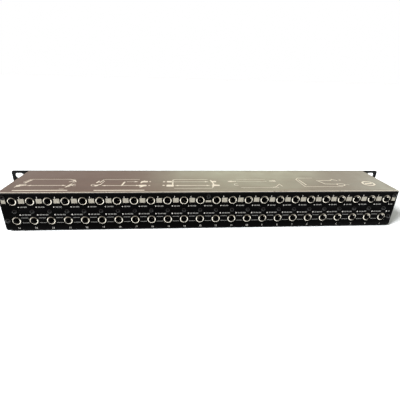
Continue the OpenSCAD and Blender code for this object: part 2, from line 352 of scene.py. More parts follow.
def turn(
    mesh: bmesh.types.BMesh, profile: Loop, place: Matrix, steps: int = 48, ring: bool = False
) -> None:
    """Turns a profile about the place's own Z, as on a lathe.

    Every vertex keeps its own place on the lathe in the attribute TURNING, for the
    tool marks of the finish.

    Args:
        mesh: The mesh that takes the turned part.
        profile: Points of (radius, height), going round the section.
        place: Takes the part's millimetres to the row frame's metres.
        steps: Number of sides.
        ring: True for a section that closes on itself away from the axis.
    """
    layer = turning_layer(mesh)
    rings: list[list[bmesh.types.BMVert]] = []
    for radius, height in profile:
        count = steps if radius > 0 else 1
        ring_verts = []
        for i in range(count):
            a = 2 * math.pi * i / steps
            local = Vector((radius * math.cos(a), radius * math.sin(a), height))
            vert = mesh.verts.new(place @ local)
            vert[layer] = local
            ring_verts.append(vert)
        rings.append(ring_verts)
    pairs = list(zip(rings, rings[1:]))
    if ring:
        pairs.append((rings[-1], rings[0]))
    for first, second in pairs:
        for i in range(steps):
            j = (i + 1) % steps
            corners = [first[i % len(first)], first[j % len(first)]]
            corners += [second[j % len(second)], second[i % len(second)]]
            unique = list(dict.fromkeys(corners))
            if len(unique) > 2:
                mesh.faces.new(unique)


def turning_layer(mesh: bmesh.types.BMesh) -> bmesh.types.BMLayerItem:
    """The vertex attribute that holds each turned part's own coordinates."""
    layers = mesh.verts.layers.float_vector
    return layers.get(TURNING) or layers.new(TURNING)


def mark_rims(mesh: bmesh.types.BMesh, flats: Iterable[Vector]) -> None:
    """Marks every face that isn't on one of the big flats, where paint rubs off first, where painted shade
    goes on rims that don't look up and, on the lid, a painted highlight.

    Args:
        mesh: The mesh of a painted panel.
        flats: Outward directions of its big flats.
    """
    layer = mesh.faces.layers.float.new(RIM)
    directions = list(flats)
    mesh.normal_update()
    for face in mesh.faces:
        lies_flat = any(abs(face.normal.dot(d)) > FLAT_ENOUGH for d in directions)
        face[layer] = 0.0 if lies_flat else 1.0


def publish(
    name: str,
    mesh: bmesh.types.BMesh,
    finish: "Finish",
    body: str = CHASSIS,
    stands_for: Sequence[str] = (),
    sharp_angle: float = 32.0,
) -> bpy.types.Object:
    """Turns a finished mesh into a piece that rides on a body.

    Args:
        name: The piece's name.
        mesh: Its mesh, in metres in the row frame; it is freed.
        finish: What it is finished in.
        body: The CAD body it rides on.
        stands_for: The CAD nodes that it replaces.
        sharp_angle: Edges sharper than this many degrees stay crisp.

    Returns:
        The new piece.
    """
    bmesh.ops.recalc_face_normals(mesh, faces=mesh.faces)
    data = bpy.data.meshes.new(name)
    mesh.to_mesh(data)
    mesh.free()
    data.shade_smooth()
    data.set_sharp_from_angle(angle=math.radians(sharp_angle))
    data.materials.append(finish.material())
    piece = bpy.data.objects.new(name, data)
    bpy.context.scene.collection.objects.link(piece)
    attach(piece, body)
    if stands_for:
        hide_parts(*stands_for)
    LOG.info("%s: %d vertices, %s, rides on %s", name, len(data.vertices), finish.name, body)
    return piece


# ------------------------------------------------------------------------- finishes


class Graph:
    """Short ways to lay out the shader nodes of one material."""

    def __init__(self, name: str) -> None:
        """Starts a material with a Principled shader wired to its output.

        Args:
            name: The material's name.
        """
        self.material = bpy.data.materials.new(name)
        self.material.use_nodes = True
        self.tree = self.material.node_tree
        self.tree.nodes.clear()
        output = self.tree.nodes.new("ShaderNodeOutputMaterial")
        self.shader = self.tree.nodes.new("ShaderNodeBsdfPrincipled")
        self.tree.links.new(self.shader.outputs["BSDF"], output.inputs["Surface"])
        self.place = self.tree.nodes.new("ShaderNodeTexCoord").outputs["Object"]

    def link(self, source: Socket, target: Socket) -> None:
        """Wires two sockets together."""
        self.tree.links.new(source, target)

    def feed(self, source: Socket, name: str) -> None:
        """Wires a socket to the shader's socket of that name."""
        self.link(source, self.shader.inputs[name])

    def fix(self, **values: float | tuple[float, ...]) -> None:
        """Sets constant values on the shader's own sockets.

        Args:
            **values: Values by socket name, with _ for each space.
        """
        for name, value in values.items():
            self.shader.inputs[name.replace("_", " ")].default_value = value

    def noise(
        self, scale: float, detail: float = 3.0, rough: float = 0.5, stretch: Colour | None = None
    ) -> Socket:
        """Adds noise in the row frame.

        Args:
            scale: Waves per metre.
            detail: Number of finer layers.
            rough: Weight of the finer layers.
            stretch: Factors on the three axes, or None for even noise.

        Returns:
            The noise's value, about 0.3 to 0.7.
        """
        node = self.tree.nodes.new("ShaderNodeTexNoise")
        node.inputs["Scale"].default_value = scale
        node.inputs["Detail"].default_value = detail
        node.inputs["Roughness"].default_value = rough
        source = self.place
        if stretch is not None:
            mapping = self.tree.nodes.new("ShaderNodeMapping")
            mapping.inputs["Scale"].default_value = stretch
            self.link(source, mapping.inputs["Vector"])
            source = mapping.outputs["Vector"]
        self.link(source, node.inputs["Vector"])
        return node.outputs[0]

    def rescale(self, value: Socket, low: float, high: float, start: float = 0.3, end: float = 0.7) -> Socket:
        """Maps a value from start..end to low..high, held inside those limits.

        Args:
            value: The value to map.
            low: Result at start.
            high: Result at end.
            start: Value that gives low.
            end: Value that gives high.

        Returns:
            The mapped value.
        """
        node = self.tree.nodes.new("ShaderNodeMapRange")
        node.clamp = True
        for name, number in (("From Min", start), ("From Max", end), ("To Min", low), ("To Max", high)):
            node.inputs[name].default_value = number
        self.link(value, node.inputs["Value"])
        return node.outputs["Result"]

    def blend(self, factor: Socket, first: Socket | Colour, second: Socket | Colour) -> Socket:
        """Mixes two colours.

        Args:
            factor: 0 for the first colour, 1 for the second.
            first: A colour or a socket that gives one.
            second: A colour or a socket that gives one.

        Returns:
            The mixed colour.
        """
        node = self.tree.nodes.new("ShaderNodeMix")
        node.data_type = "RGBA"
        self.link(factor, node.inputs[0])
        for socket, colour in ((node.inputs[6], first), (node.inputs[7], second)):
            if isinstance(colour, tuple):
                socket.default_value = (*colour, 1.0)
            else:
                self.link(colour, socket)
        return node.outputs[2]

    def product(self, first: Socket, second: Socket | float) -> Socket:
        """Multiplies two values.

        Args:
            first: A value.
            second: A value, or a plain number.

        Returns:
            Their product.
        """
        node = self.tree.nodes.new("ShaderNodeMath")
        node.operation = "MULTIPLY"
        self.link(first, node.inputs[0])
        if isinstance(second, float):
            node.inputs[1].default_value = second
        else:
            self.link(second, node.inputs[1])
        return node.outputs[0]

    def attribute(self, name: str, output: str) -> Socket:
        """Reads a named attribute of the mesh.

        Args:
            name: The attribute.
            output: Fac for a number or Vector for a direction or place.

        Returns:
            Its value.
        """
        node = self.tree.nodes.new("ShaderNodeAttribute")
        node.attribute_name = name
        return node.outputs[output]

    def facing_up(self) -> Socket:
        """Tells surfaces that look up from the others.

        Returns:
            1 where the surface lies flat and looks up, fading to 0 on its sides.
        """
        geometry = self.tree.nodes.new("ShaderNodeNewGeometry")
        parts = self.tree.nodes.new("ShaderNodeSeparateXYZ")
        self.link(geometry.outputs["Normal"], parts.inputs[0])
        return self.rescale(parts.outputs["Z"], 0.0, 1.0, 0.35, 0.75)

    def bump(self, height: Socket, depth_mm: float, strength: float, under: Socket | None = None) -> Socket:
        """Adds relief to the shaded surface.

        Args:
            height: Relief from 0 to 1.
            depth_mm: What 1 stands for.
            strength: Share of the relief that shows.
            under: Relief from another bump, or None.

        Returns:
            The normal to feed to the shader or to another bump.
        """
        node = self.tree.nodes.new("ShaderNodeBump")
        node.inputs["Strength"].default_value = strength
        node.inputs["Distance"].default_value = depth_mm * MM
        self.link(height, node.inputs["Height"])
        if under is not None:
            self.link(under, node.inputs["Normal"])
        return node.outputs["Normal"]


@dataclass(frozen=True)
class Finish:
    """What a piece is finished in; each kind of finish lays out its own shader."""

    name: str

    def material(self) -> bpy.types.Material:
        """The finish's material, made once and shared by every piece that has it."""
        return bpy.data.materials.get(self.name) or self.mix()

    def mix(self) -> bpy.types.Material:
        """Lays out the shader of this finish."""
        raise NotImplementedError


@dataclass(frozen=True)
class Paint(Finish):
    """Stoved satin paint on sheet steel: fine grain, cloudy gloss, dust, rubbed edges, painted shade on rims
    that don't look up, and a painted highlight on the lid's rims that do.
    """

    tone: Colour
    deep_tone: Colour
    # Tone of rims that look up: paint rubbed through on most panels, a painted highlight on the lid.
    worn_tone: Colour = (0.16, 0.15, 0.14)
    dust_tone: Colour = (0.42, 0.38, 0.32)
    # Painted shade: near-black colour for rims that don't look up, in place of the shade on the sheet's
    # edges.
    primer_tone: Colour = (0.008, 0.008, 0.008)
    dust: float = 0.10
    wear: float = 0.5
    wear_span: tuple[float, float] = (0.5, 0.64)
    gloss: tuple[float, float] = (0.38, 0.52)
    sheen_level: float = 0.35
    grain_per_m: float = 1500.0
    grain_mm: float = 0.02
    ripple_per_m: float = 260.0
    ripple_mm: float = 0.03
    cloud_per_m: float = 22.0
    gloss_per_m: float = 45.0
    dust_per_m: float = 900.0
    dust_span: tuple[float, float] = (0.56, 0.66)
    scuff_per_m: float = 160.0
    streak: Colour | None = None

    def mix(self) -> bpy.types.Material:
        """Lays out cloudy colour, dust, painted shade on rims that don't look up, rubbed rims that look up (a
        painted highlight on the lid), uneven gloss and grain.

        Returns:
            The finished material.
        """
        graph = Graph(self.name)
        clouds = graph.noise(self.cloud_per_m, 6.0, 0.6, self.streak)
        colour = graph.blend(graph.rescale(clouds, 0.0, 1.0), self.deep_tone, self.tone)
        specks = graph.rescale(graph.noise(self.dust_per_m, 2.0), 0.0, self.dust, *self.dust_span)
        dusty = graph.product(specks, graph.facing_up())
        colour = graph.blend(dusty, colour, self.dust_tone)
        rim = graph.attribute(RIM, "Fac")
        # Painted shade: rims that don't look up take the near-black rim shade tone; rims that look up keep
        # the paint's colour.
        colour = graph.blend(rim, colour, graph.blend(graph.facing_up(), self.primer_tone, colour))
        # Rims that look up lighten: rubbed paint on most panels, and on the lid a painted highlight of the
        # light along its rolled edge.
        scuffs_and_highlight = graph.rescale(graph.noise(self.scuff_per_m, 6.0, 0.7), 0.0, self.wear, *self.wear_span)
        worn_and_lit = graph.product(scuffs_and_highlight, graph.product(rim, graph.facing_up()))
        graph.feed(graph.blend(worn_and_lit, colour, self.worn_tone), "Base Color")
        low, high = self.gloss
        graph.feed(graph.rescale(graph.noise(self.gloss_per_m, 8.0, 0.65), low, high), "Roughness")
        fine = graph.bump(graph.noise(self.grain_per_m, 2.0), self.grain_mm, 0.6)
        ripple = graph.bump(graph.noise(self.ripple_per_m, 2.0), self.ripple_mm, 0.25, fine)
        graph.feed(ripple, "Normal")
        graph.fix(Specular_IOR_Level=self.sheen_level, IOR=1.5)
        return graph.material


@dataclass(frozen=True)
class Metal(Finish):
    """Plated or bare metal with tarnish and, on turned parts, tool marks round the axis."""

    tone: Colour
    dull_tone: Colour
    gloss: tuple[float, float] = (0.2, 0.38)
    turned: bool = False
    grain: Colour = (1.0, 1.0, 1.0)
    tarnish_per_m: float = 140.0
    gloss_per_m: float = 420.0
    grain_per_m: float = 1400.0
    grooves_per_mm: float = 9.0

    def mix(self) -> bpy.types.Material:
        """Lays out tarnished colour, uneven gloss and fine marks.

        Returns:
            The finished material.
        """
        graph = Graph(self.name)
        tarnish = graph.rescale(graph.noise(self.tarnish_per_m, 5.0, 0.6), 0.0, 1.0)
        graph.feed(graph.blend(tarnish, self.tone, self.dull_tone), "Base Color")
        low, high = self.gloss
        graph.feed(graph.rescale(graph.noise(self.gloss_per_m, 4.0), low, high), "Roughness")
        graph.fix(Metallic=1.0)
        if self.turned:
            relief = graph.bump(self.tool_marks(graph), 0.02, 0.35)
        else:
            relief = graph.bump(graph.noise(self.grain_per_m, 3.0, 0.5, self.grain), 0.01, 0.4)
        graph.feed(relief, "Normal")
        return graph.material

    def tool_marks(self, graph: Graph) -> Socket:
        """Fine grooves that run round a turned part.

        Args:
            graph: The shader that is being laid out.

        Returns:
            The grooves' relief.
        """
        tree = graph.tree
        parts = tree.nodes.new("ShaderNodeSeparateXYZ")
        graph.link(graph.attribute(TURNING, "Vector"), parts.inputs[0])
        flat = tree.nodes.new("ShaderNodeCombineXYZ")
        for axis in "XY":
            graph.link(parts.outputs[axis], flat.inputs[axis])
        radius = tree.nodes.new("ShaderNodeVectorMath")
        radius.operation = "LENGTH"
        graph.link(flat.outputs[0], radius.inputs[0])
        reach = tree.nodes.new("ShaderNodeMath")
        reach.operation = "ADD"
        graph.link(radius.outputs["Value"], reach.inputs[0])
        graph.link(parts.outputs["Z"], reach.inputs[1])
        grooves = tree.nodes.new("ShaderNodeTexNoise")
        grooves.noise_dimensions = "1D"
        grooves.inputs["Scale"].default_value = self.grooves_per_mm
        grooves.inputs["Detail"].default_value = 2.0
        graph.link(reach.outputs[0], grooves.inputs["W"])
        return grooves.outputs[0]


@dataclass(frozen=True)
class Plastic(Finish):
    """Moulded plastic with a faint cloudy tone and a fine moulded texture."""

    tone: Colour
    pale_tone: Colour
    gloss: tuple[float, float] = (0.35, 0.5)
    see_through: float = 0.0
    cloud_per_m: float = 110.0
    gloss_per_m: float = 300.0
    texture_per_m: float = 2600.0

    def mix(self) -> bpy.types.Material:
        """Lays out tone, gloss and moulded texture.

        Returns:
            The finished material.
        """
        graph = Graph(self.name)
        clouds = graph.rescale(graph.noise(self.cloud_per_m, 4.0), 0.0, 1.0)
        graph.feed(graph.blend(clouds, self.tone, self.pale_tone), "Base Color")
        low, high = self.gloss
        graph.feed(graph.rescale(graph.noise(self.gloss_per_m, 3.0), low, high), "Roughness")
        graph.feed(graph.bump(graph.noise(self.texture_per_m, 2.0), 0.012, 0.5), "Normal")
        graph.fix(IOR=1.5, Transmission_Weight=self.see_through)
        return graph.material


@dataclass(frozen=True)
class Board(Finish):
    """Green solder mask over copper tracks that run along the board."""

    tone: Colour = (0.010, 0.085, 0.032)
    track_tone: Colour = (0.030, 0.17, 0.060)
    tracks_per_m: float = 240.0
    track_stretch: Colour = (1.0, 0.12, 1.0)
    track_span: tuple[float, float] = (0.49, 0.52)
    gloss_per_m: float = 90.0

    def mix(self) -> bpy.types.Material:
        """Lays out the mask, its raised tracks and its gloss.

        Returns:
            The finished material.
        """
        graph = Graph(self.name)
        waves = graph.noise(self.tracks_per_m, 1.0, 0.3, self.track_stretch)
        tracks = graph.rescale(waves, 0.0, 1.0, *self.track_span)
        graph.feed(graph.blend(tracks, self.tone, self.track_tone), "Base Color")
        graph.feed(graph.rescale(graph.noise(self.gloss_per_m), 0.22, 0.36), "Roughness")
        graph.feed(graph.bump(tracks, 0.04, 0.7), "Normal")
        graph.fix(Coat_Weight=0.3, Coat_Roughness=0.12)
        return graph.material


@dataclass(frozen=True)
class Ink(Finish):
    """Screen-printing ink: nearly even, a little thin in places, with a dry surface."""

    tone: Colour
    thin_tone: Colour
    patch_per_m: float = 700.0
    patch_span: tuple[float, float] = (0.52, 0.72)
    gloss_per_m: float = 500.0
    mesh_per_m: float = 3000.0

    def mix(self) -> bpy.types.Material:
        """Lays out patchy ink with a fine mesh texture.

        Returns:
            The finished material.
        """
        graph = Graph(self.name)
        thin = graph.rescale(graph.noise(self.patch_per_m, 4.0, 0.7), 0.0, 1.0, *self.patch_span)
        graph.feed(graph.blend(thin, self.tone, self.thin_tone), "Base Color")
        graph.feed(graph.rescale(graph.noise(self.gloss_per_m), 0.5, 0.68), "Roughness")
        graph.feed(graph.bump(graph.noise(self.mesh_per_m, 1.0), 0.008, 0.5), "Normal")
        graph.fix(Specular_IOR_Level=0.3)
        return graph.material


@dataclass(frozen=True)
class Backdrop(Finish):
    """Matt pale studio floor."""

    tone: Colour
    glow: float
    shade: float = 0.97
    cloud_per_m: float = 3.0

    def mix(self) -> bpy.types.Material:
        """Lays out an almost even floor that is lifted to white.

        Returns:
            The finished material.
        """
        graph = Graph(self.name)
        shaded = tuple(self.shade * part for part in self.tone)
        clouds = graph.rescale(graph.noise(self.cloud_per_m), 0.0, 1.0)
        graph.feed(graph.blend(clouds, self.tone, shaded), "Base Color")
        graph.fix(Roughness=0.9, Specular_IOR_Level=0.1)
        graph.fix(Emission_Color=(*self.tone, 1.0), Emission_Strength=self.glow)
        return graph.material


FRONT_PAINT = Paint(
    "front_paint_black",
    (0.008, 0.008, 0.0085),
    (0.004, 0.004, 0.0045),
    wear=0.2,
    sheen_level=0.12,
)
REAR_PAINT = Paint(
    "rear_paint_black",
    (0.0020, 0.0018, 0.0018),
    (0.0008, 0.0007, 0.0007),
    sheen_level=0.02,
)
TRAY_PAINT = Paint("tray_paint_black", (0.013, 0.013, 0.014), (0.008, 0.008, 0.009), wear=0.0)
# The lid's umber tone is partly its own dark warm paint and partly painted reflection of the studio's glare
# on black paint.
LID_PAINT = Paint(
    "lid_paint_umber_and_painted_glare",
    (0.185, 0.108, 0.078),
    (0.150, 0.086, 0.062),
    # Painted highlight: the cream rim tone at full strength lights the lid's rolled rear edge as the studio
    # light would.
    worn_tone=(0.88, 0.80, 0.68),
    wear=1.0,
    wear_span=(0.25, 0.42),
    cloud_per_m=90.0,
    streak=(0.06, 1.0, 1.0),
    gloss=(0.32, 0.42),
    sheen_level=0.35,
)
NOSE_METAL = Metal(
    "jack_nose_pale_nickel",
    (1.0, 0.95, 0.83),
    (0.95, 0.86, 0.70),
    (0.10, 0.20),
    turned=True,
)
BLACK_SCREW = Metal(
    "black_oxide_screw",
    (0.040, 0.039, 0.038),
    (0.014, 0.013, 0.013),
    (0.14, 0.26),
    turned=True,
)
ZINC = Metal("zinc_plate", (0.62, 0.63, 0.64), (0.46, 0.47, 0.47), (0.25, 0.42))
SPRING_METAL = Metal("nickel_spring", (0.74, 0.70, 0.62), (0.58, 0.54, 0.46), grain=(1.0, 0.1, 1.0))
BRONZE = Metal("wiper_bronze", (0.66, 0.42, 0.20), (0.48, 0.29, 0.13), grain=(0.1, 1.0, 1.0))
CONTACT = Metal("contact_bright", (0.92, 0.88, 0.78), (0.78, 0.72, 0.60), (0.10, 0.22))
# Bore liner: partly a black plastic part, partly painted shade that keeps the bore dark just past its mouth.
BORE_LINER_AND_SHADE = Plastic("jack_liner_black_and_bore_shade", (0.010, 0.010, 0.011), (0.018, 0.018, 0.019), (0.5, 0.65))
JACK_PLASTIC = Plastic("jack_body_black", (0.020, 0.020, 0.022), (0.032, 0.032, 0.034))
SWITCH_PLASTIC = Plastic("switch_housing_black", (0.024, 0.024, 0.026), (0.036, 0.036, 0.038))
LEVER_PLASTIC = Plastic("lever_off_white", (0.78, 0.77, 0.72), (0.70, 0.69, 0.64), (0.3, 0.42))
NYLON = Plastic("guide_nylon", (0.72, 0.70, 0.62), (0.64, 0.61, 0.53), (0.42, 0.55))
FILM = Plastic("insulating_film", (0.60, 0.50, 0.28), (0.52, 0.43, 0.24), (0.18, 0.26), see_through=0.25)
BOARD = Board("channel_board_green")
WHITE_INK = Ink("print_white", (0.74, 0.71, 0.66), (0.56, 0.54, 0.50))
LABEL_INK = Ink("print_label_box", (0.46, 0.425, 0.35), (0.35, 0.32, 0.26))
GREY_INK = Ink("print_grey", (0.24, 0.235, 0.22), (0.17, 0.165, 0.155))
LID_INK = Ink("print_lid_cream", (0.95, 0.84, 0.73), (0.80, 0.68, 0.57))
FLOOR = Backdrop("studio_floor", (0.40, 0.405, 0.41), 0.06)


# ------------------------------------------------------------------------ ink on a face


class Print:
    """Collects thin closed slabs of ink on one face."""

    SUNK = -0.02
    PROUD = 0.03
    LAYER = 0.001
    LAYERS = 8
    DOT_STEPS = 20
    MITRE = 0.35
    CAP_SHARE = 0.7

    def __init__(self, face: Face) -> None:
        """Starts an empty print.

        Args:
            face: The face that is printed on.
        """
        self.place = face.matrix
        self.mesh = bmesh.new()
        self.shapes = 0

    def layer(self) -> float:
        """Height of the next shape's surface, so that shapes that cross never share a plane."""
        self.shapes += 1
        return self.PROUD + self.LAYER * (self.shapes % self.LAYERS)

    def patch(self, loop: Loop) -> None:
        """Prints a filled shape."""
        prism(self.mesh, loop, self.SUNK, self.layer(), self.place)

    def bar(self, left: float, right: float, height: float, width: float) -> None:
        """Prints a straight bar that runs from left to right.

        Args:
            left: Its left end.
            right: Its right end.
            height: Height of its middle.
            width: Thickness of the bar.
        """
        self.patch(box_loop(left, height - width / 2, right, height + width / 2))

    def dot(self, u: float, v: float, diameter: float) -> None:
        """Prints a round dot."""
        self.patch(circle((u, v), diameter / 2, self.DOT_STEPS))

    def line(self, points: Loop, width: float, closed: bool = False) -> None:
        """Prints a line of even width with mitred corners.

        Args:
            points: The line's middle.
            width: Its width.
            closed: True if its end joins its start.
        """
        left, right = self.offsets(points, width / 2, closed)
        rows = []
        top = self.layer()
        for edge in (left, right):
            for height in (self.SUNK, top):
                rows.append([self.mesh.verts.new(self.place @ Vector((x, y, height))) for x, y in edge])
        left_low, left_high, right_low, right_high = rows
        count = len(points)
        for i in range(count if closed else count - 1):
            j = (i + 1) % count
            self.mesh.faces.new((left_high[i], right_high[i], right_high[j], left_high[j]))
            self.mesh.faces.new((left_low[j], right_low[j], right_low[i], left_low[i]))
            self.mesh.faces.new((left_low[i], left_high[i], left_high[j], left_low[j]))
            self.mesh.faces.new((right_low[j], right_high[j], right_high[i], right_low[i]))
        if not closed:
            for i in (0, count - 1):
                self.mesh.faces.new((left_low[i], right_low[i], right_high[i], left_high[i]))

    @classmethod
    def offsets(cls, points: Loop, reach: float, closed: bool) -> tuple[Loop, Loop]:
        """The two edges of a line.

        Args:
            points: The line's middle.
            reach: Half its width.
            closed: True if its end joins its start.

        Returns:
            The points of its left edge and of its right edge.
        """
        spots = [Vector(point) for point in points]
        count = len(spots)
        left, right = [], []
        for i, spot in enumerate(spots):
            before = spots[i - 1] if i or closed else None
            after = spots[(i + 1) % count] if i < count - 1 or closed else None
            into = (spot - before).normalized() if before is not None else None
            onward = (after - spot).normalized() if after is not None else into
            into = onward if into is None else into
            side = Vector((-into.y - onward.y, into.x + onward.x)).normalized()
            stretch = reach / max(cls.MITRE, side.dot(Vector((-into.y, into.x))))
            left.append(tuple(spot + side * stretch))
            right.append(tuple(spot - side * stretch))
        return left, right

    def arrow(self, tip: tuple[float, float], heading: Heading, length: float, width: float) -> None:
        """Prints a solid arrow head.

        Args:
            tip: Its point.
            heading: The way it points.
            length: Its length.
            width: Its width at the back.
        """
        u, v = tip
        back = u - heading.value * length
        loop = [(u, v), (back, v + width / 2), (back, v - width / 2)]
        self.patch(loop if heading is Heading.RIGHT else loop[::-1])

    def plug(self, tip: tuple[float, float], heading: Heading, length: float, tilt: float = 0.0) -> None:
        """Prints the outline of a jack plug: sleeve, shank and pointed tip.

        Args:
            tip: The end of the plug.
            heading: The way it points.
            length: Its length over all.
            tilt: Degrees that it is turned anticlockwise.
        """
        way = heading.value
        shape = [(0.0, 0.0), (0.12, 0.11), (0.22, 0.11), (0.27, 0.06), (0.32, 0.12), (0.62, 0.12)]
        shape += [(0.62, 0.22), (1.0, 0.22)]
        half = [(-way * along * length, across * length) for along, across in shape]
        loop = half + [(x, -y) for x, y in reversed(half[1:])]
        a = math.radians(tilt)
        turned = [
            (tip[0] + x * math.cos(a) - y * math.sin(a), tip[1] + x * math.sin(a) + y * math.cos(a))
            for x, y in loop
        ]
        self.patch(turned if way < 0 else turned[::-1])

    def number(self, text: str, u: float, v: float, height: float) -> None:
        """Prints a number.

        Args:
            text: Its digits.
            u: Its middle.
            v: Height of its middle.
            height: Height of a digit.
        """
        lettering = bpy.data.curves.new("number", "FONT")
        lettering.body = text
        lettering.align_x = "CENTER"
        lettering.align_y = "CENTER"
        lettering.size = height / self.CAP_SHARE
        lettering.resolution_u = 4
        lettering.extrude = (self.PROUD - self.SUNK) / 2
        digits = melt(lettering)
        middle = Matrix.Translation((u, v, (self.PROUD + self.SUNK) / 2))
        add_mesh(self.mesh, digits, self.place @ middle)
        bpy.data.meshes.remove(digits)

    def publish(self, name: str, ink: Ink, slot: str) -> bpy.types.Object:
        """Turns the print into a piece on the chassis."""
        return publish(name, self.mesh, ink)


# ------------------------------------------------------------------------ sub-assemblies


@dataclass
class Panels:
    """The flat steel front panel with its ears and the flat rear panel."""

    layout: Layout
    edge: float = 0.22
    jack_hole: float = 9.6
    screw_hole: float = 3.1
    corner: float = 2.0
    rear_corner: float = 2.5
    lever_slot: tuple[float, float] = (7.8, 3.6)
    slot_corner: float = 0.3
    end_screw: float = 216.0
    high_screw: float = 16.4
    module_screw: float = 0.2

    def jack_holes(self, side: Side) -> list[Loop]:
        """The round holes for both rows of jacks on a face."""
        centres = [spot for row in Row for spot in self.layout.jacks[side, row]]
        return [circle(spot, self.jack_hole / 2) for spot in centres]

    def rack_slots(self) -> list[Loop]:
        """The slots in the ears, from the record's bolt pattern.

        Returns:
            One closed loop for each slot.
        """
        dims = next(m["dims"] for m in frame["record"]["mounts"] if m["kind"] == "bolt_pattern")
        wide, tall = dims["spacing_x_mm"] / 2, dims["spacing_y_mm"] / 2
        length, height = dims["slot_length_mm"], 2 * dims["hole_r_mm"]
        spots = [(u, v) for u in (-wide, wide) for v in (-tall, tall)]
        return [rounded_box(spot, length, height, height / 2 - 0.01, 12) for spot in spots]

    def build_front(self) -> None:
        """Builds the front panel."""
        low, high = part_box("front_panel")
        face = self.layout.faces[Side.FRONT]
        left, bottom = face.across(low)
        right, top = face.across(high)
        middle = ((left + right) / 2, (bottom + top) / 2)
        outline = rounded_box(middle, right - left, top - bottom, self.corner)
        upper, lower = (self.layout.height(Side.FRONT, row) for row in Row)
        holes = self.jack_holes(Side.FRONT) + self.rack_slots()
        width, height = self.lever_slot
        for u in self.layout.columns(Side.FRONT):
            holes.append(rounded_box((u, (upper + lower) / 2), width, height, self.slot_corner, 3))
        for u in (-self.end_screw, self.end_screw):
            for v in (lower, self.high_screw):
                holes.append(circle((u, v), self.screw_hole / 2, 24))
        mesh = bmesh.new()
        Sheet(outline, (high.y - low.y) / MM, self.edge, holes).press(mesh, face.matrix)
        mark_rims(mesh, [face.out])
        publish("front_panel_steel", mesh, FRONT_PAINT, stands_for=["front_panel"])

    def build_rear(self) -> None:
        """Builds the rear panel, whose lower corners follow the tray's bends."""
        low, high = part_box("rear_panel")
        face = self.layout.faces[Side.REAR]
        right, bottom = face.across(low)
        left, top = face.across(high)
        r = self.rear_corner
        outline = arc((left + r, bottom + r), r, 180.0, 270.0, 6)
        outline += arc((right - r, bottom + r), r, 270.0, 360.0, 6)
        outline += [(right, top), (left, top)]
        holes = self.jack_holes(Side.REAR)
        spots = [(u, self.module_screw) for u in self.layout.columns(Side.REAR)]
        spots += [(u, self.high_screw) for u in (-self.end_screw, 0.0, self.end_screw)]
        lower = self.layout.height(Side.REAR, Row.LOWER)
        spots += [(u, lower) for u in (-self.end_screw, self.end_screw)]
        holes += [circle(spot, self.screw_hole / 2, 24) for spot in spots]
        mesh = bmesh.new()
        Sheet(outline, (high.y - low.y) / MM, self.edge, holes).press(mesh, face.matrix)
        mark_rims(mesh, [face.out])
        publish("rear_panel_steel", mesh, REAR_PAINT, stands_for=["rear_panel"])


@dataclass
class Lid:
    """The lid: a flat sheet with a rolled rear edge and tabs bent down inside the box."""

    layout: Layout
    thickness: float = 1.5
    tab_thickness: float = 1.2
    roll: float = 1.2
    edge: float = 0.2
    tab_edge: float = 0.1
    tab_overlap: float = 0.05
    flange_inset: float = 1.3
    flange_ends: tuple[float, float] = (8.0, 64.0)
    end_tab_inner: float = 213.4
    middle_tab: float = 6.2

    def build(self) -> None:
        """Builds the sheet and its five tabs as one piece."""
        low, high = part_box("top_lid")
        mesh = bmesh.new()
        self.press_sheet(mesh, low / MM, high / MM)
        self.press_tabs(mesh, low / MM, high / MM)
        mark_rims(mesh, [UP, RIGHT])
        publish("top_lid_sheet", mesh, LID_PAINT, stands_for=["top_lid"])

    def press_sheet(self, mesh: bmesh.types.BMesh, low: Vector, high: Vector) -> None:
        """Adds the flat sheet, drawn as its section and drawn out along the box.

        Args:
            mesh: The mesh that takes it.
            low: Lowest corner of the lid, in millimetres.
            high: Highest corner of the lid, in millimetres.
        """
        section = [(low.y, high.z - self.thickness), (high.y, high.z - self.thickness)]
        section += arc((high.y - self.roll, high.z - self.roll), self.roll, 0.0, 90.0, 10)
        section.append((low.y, high.z))
        end = Face(RIGHT * high.x * MM, BACK, UP)
        Sheet(section, high.x - low.x, self.edge, edge_steps=2).press(mesh, end.matrix)

    def press_tabs(self, mesh: bmesh.types.BMesh, low: Vector, high: Vector) -> None:
        """Adds the two side flanges and the three rear tabs.

        Args:
            mesh: The mesh that takes them.
            low: Lowest corner of the lid, in millimetres.
            high: Highest corner of the lid, in millimetres.
        """
        bottom, top = low.z, high.z - self.thickness + self.tab_overlap
        wide = high.x - self.flange_inset
        rear = high.y - self.tab_thickness
        for way in (-1.0, 1.0):
            flange = Face(RIGHT * way * wide * MM, BACK * way, UP)
            ends = sorted(way * end for end in self.flange_ends)
            outline = box_loop(ends[0], bottom, ends[1], top)
            Sheet(outline, self.tab_thickness, self.tab_edge).press(mesh, flange.matrix)
        back = Face(BACK * rear * MM, -RIGHT, UP)
        half = self.middle_tab / 2
        for left, right in ((-wide, -self.end_tab_inner), (-half, half), (self.end_tab_inner, wide)):
            outline = box_loop(left, bottom, right, top)
            Sheet(outline, self.tab_thickness, self.tab_edge).press(mesh, back.matrix)


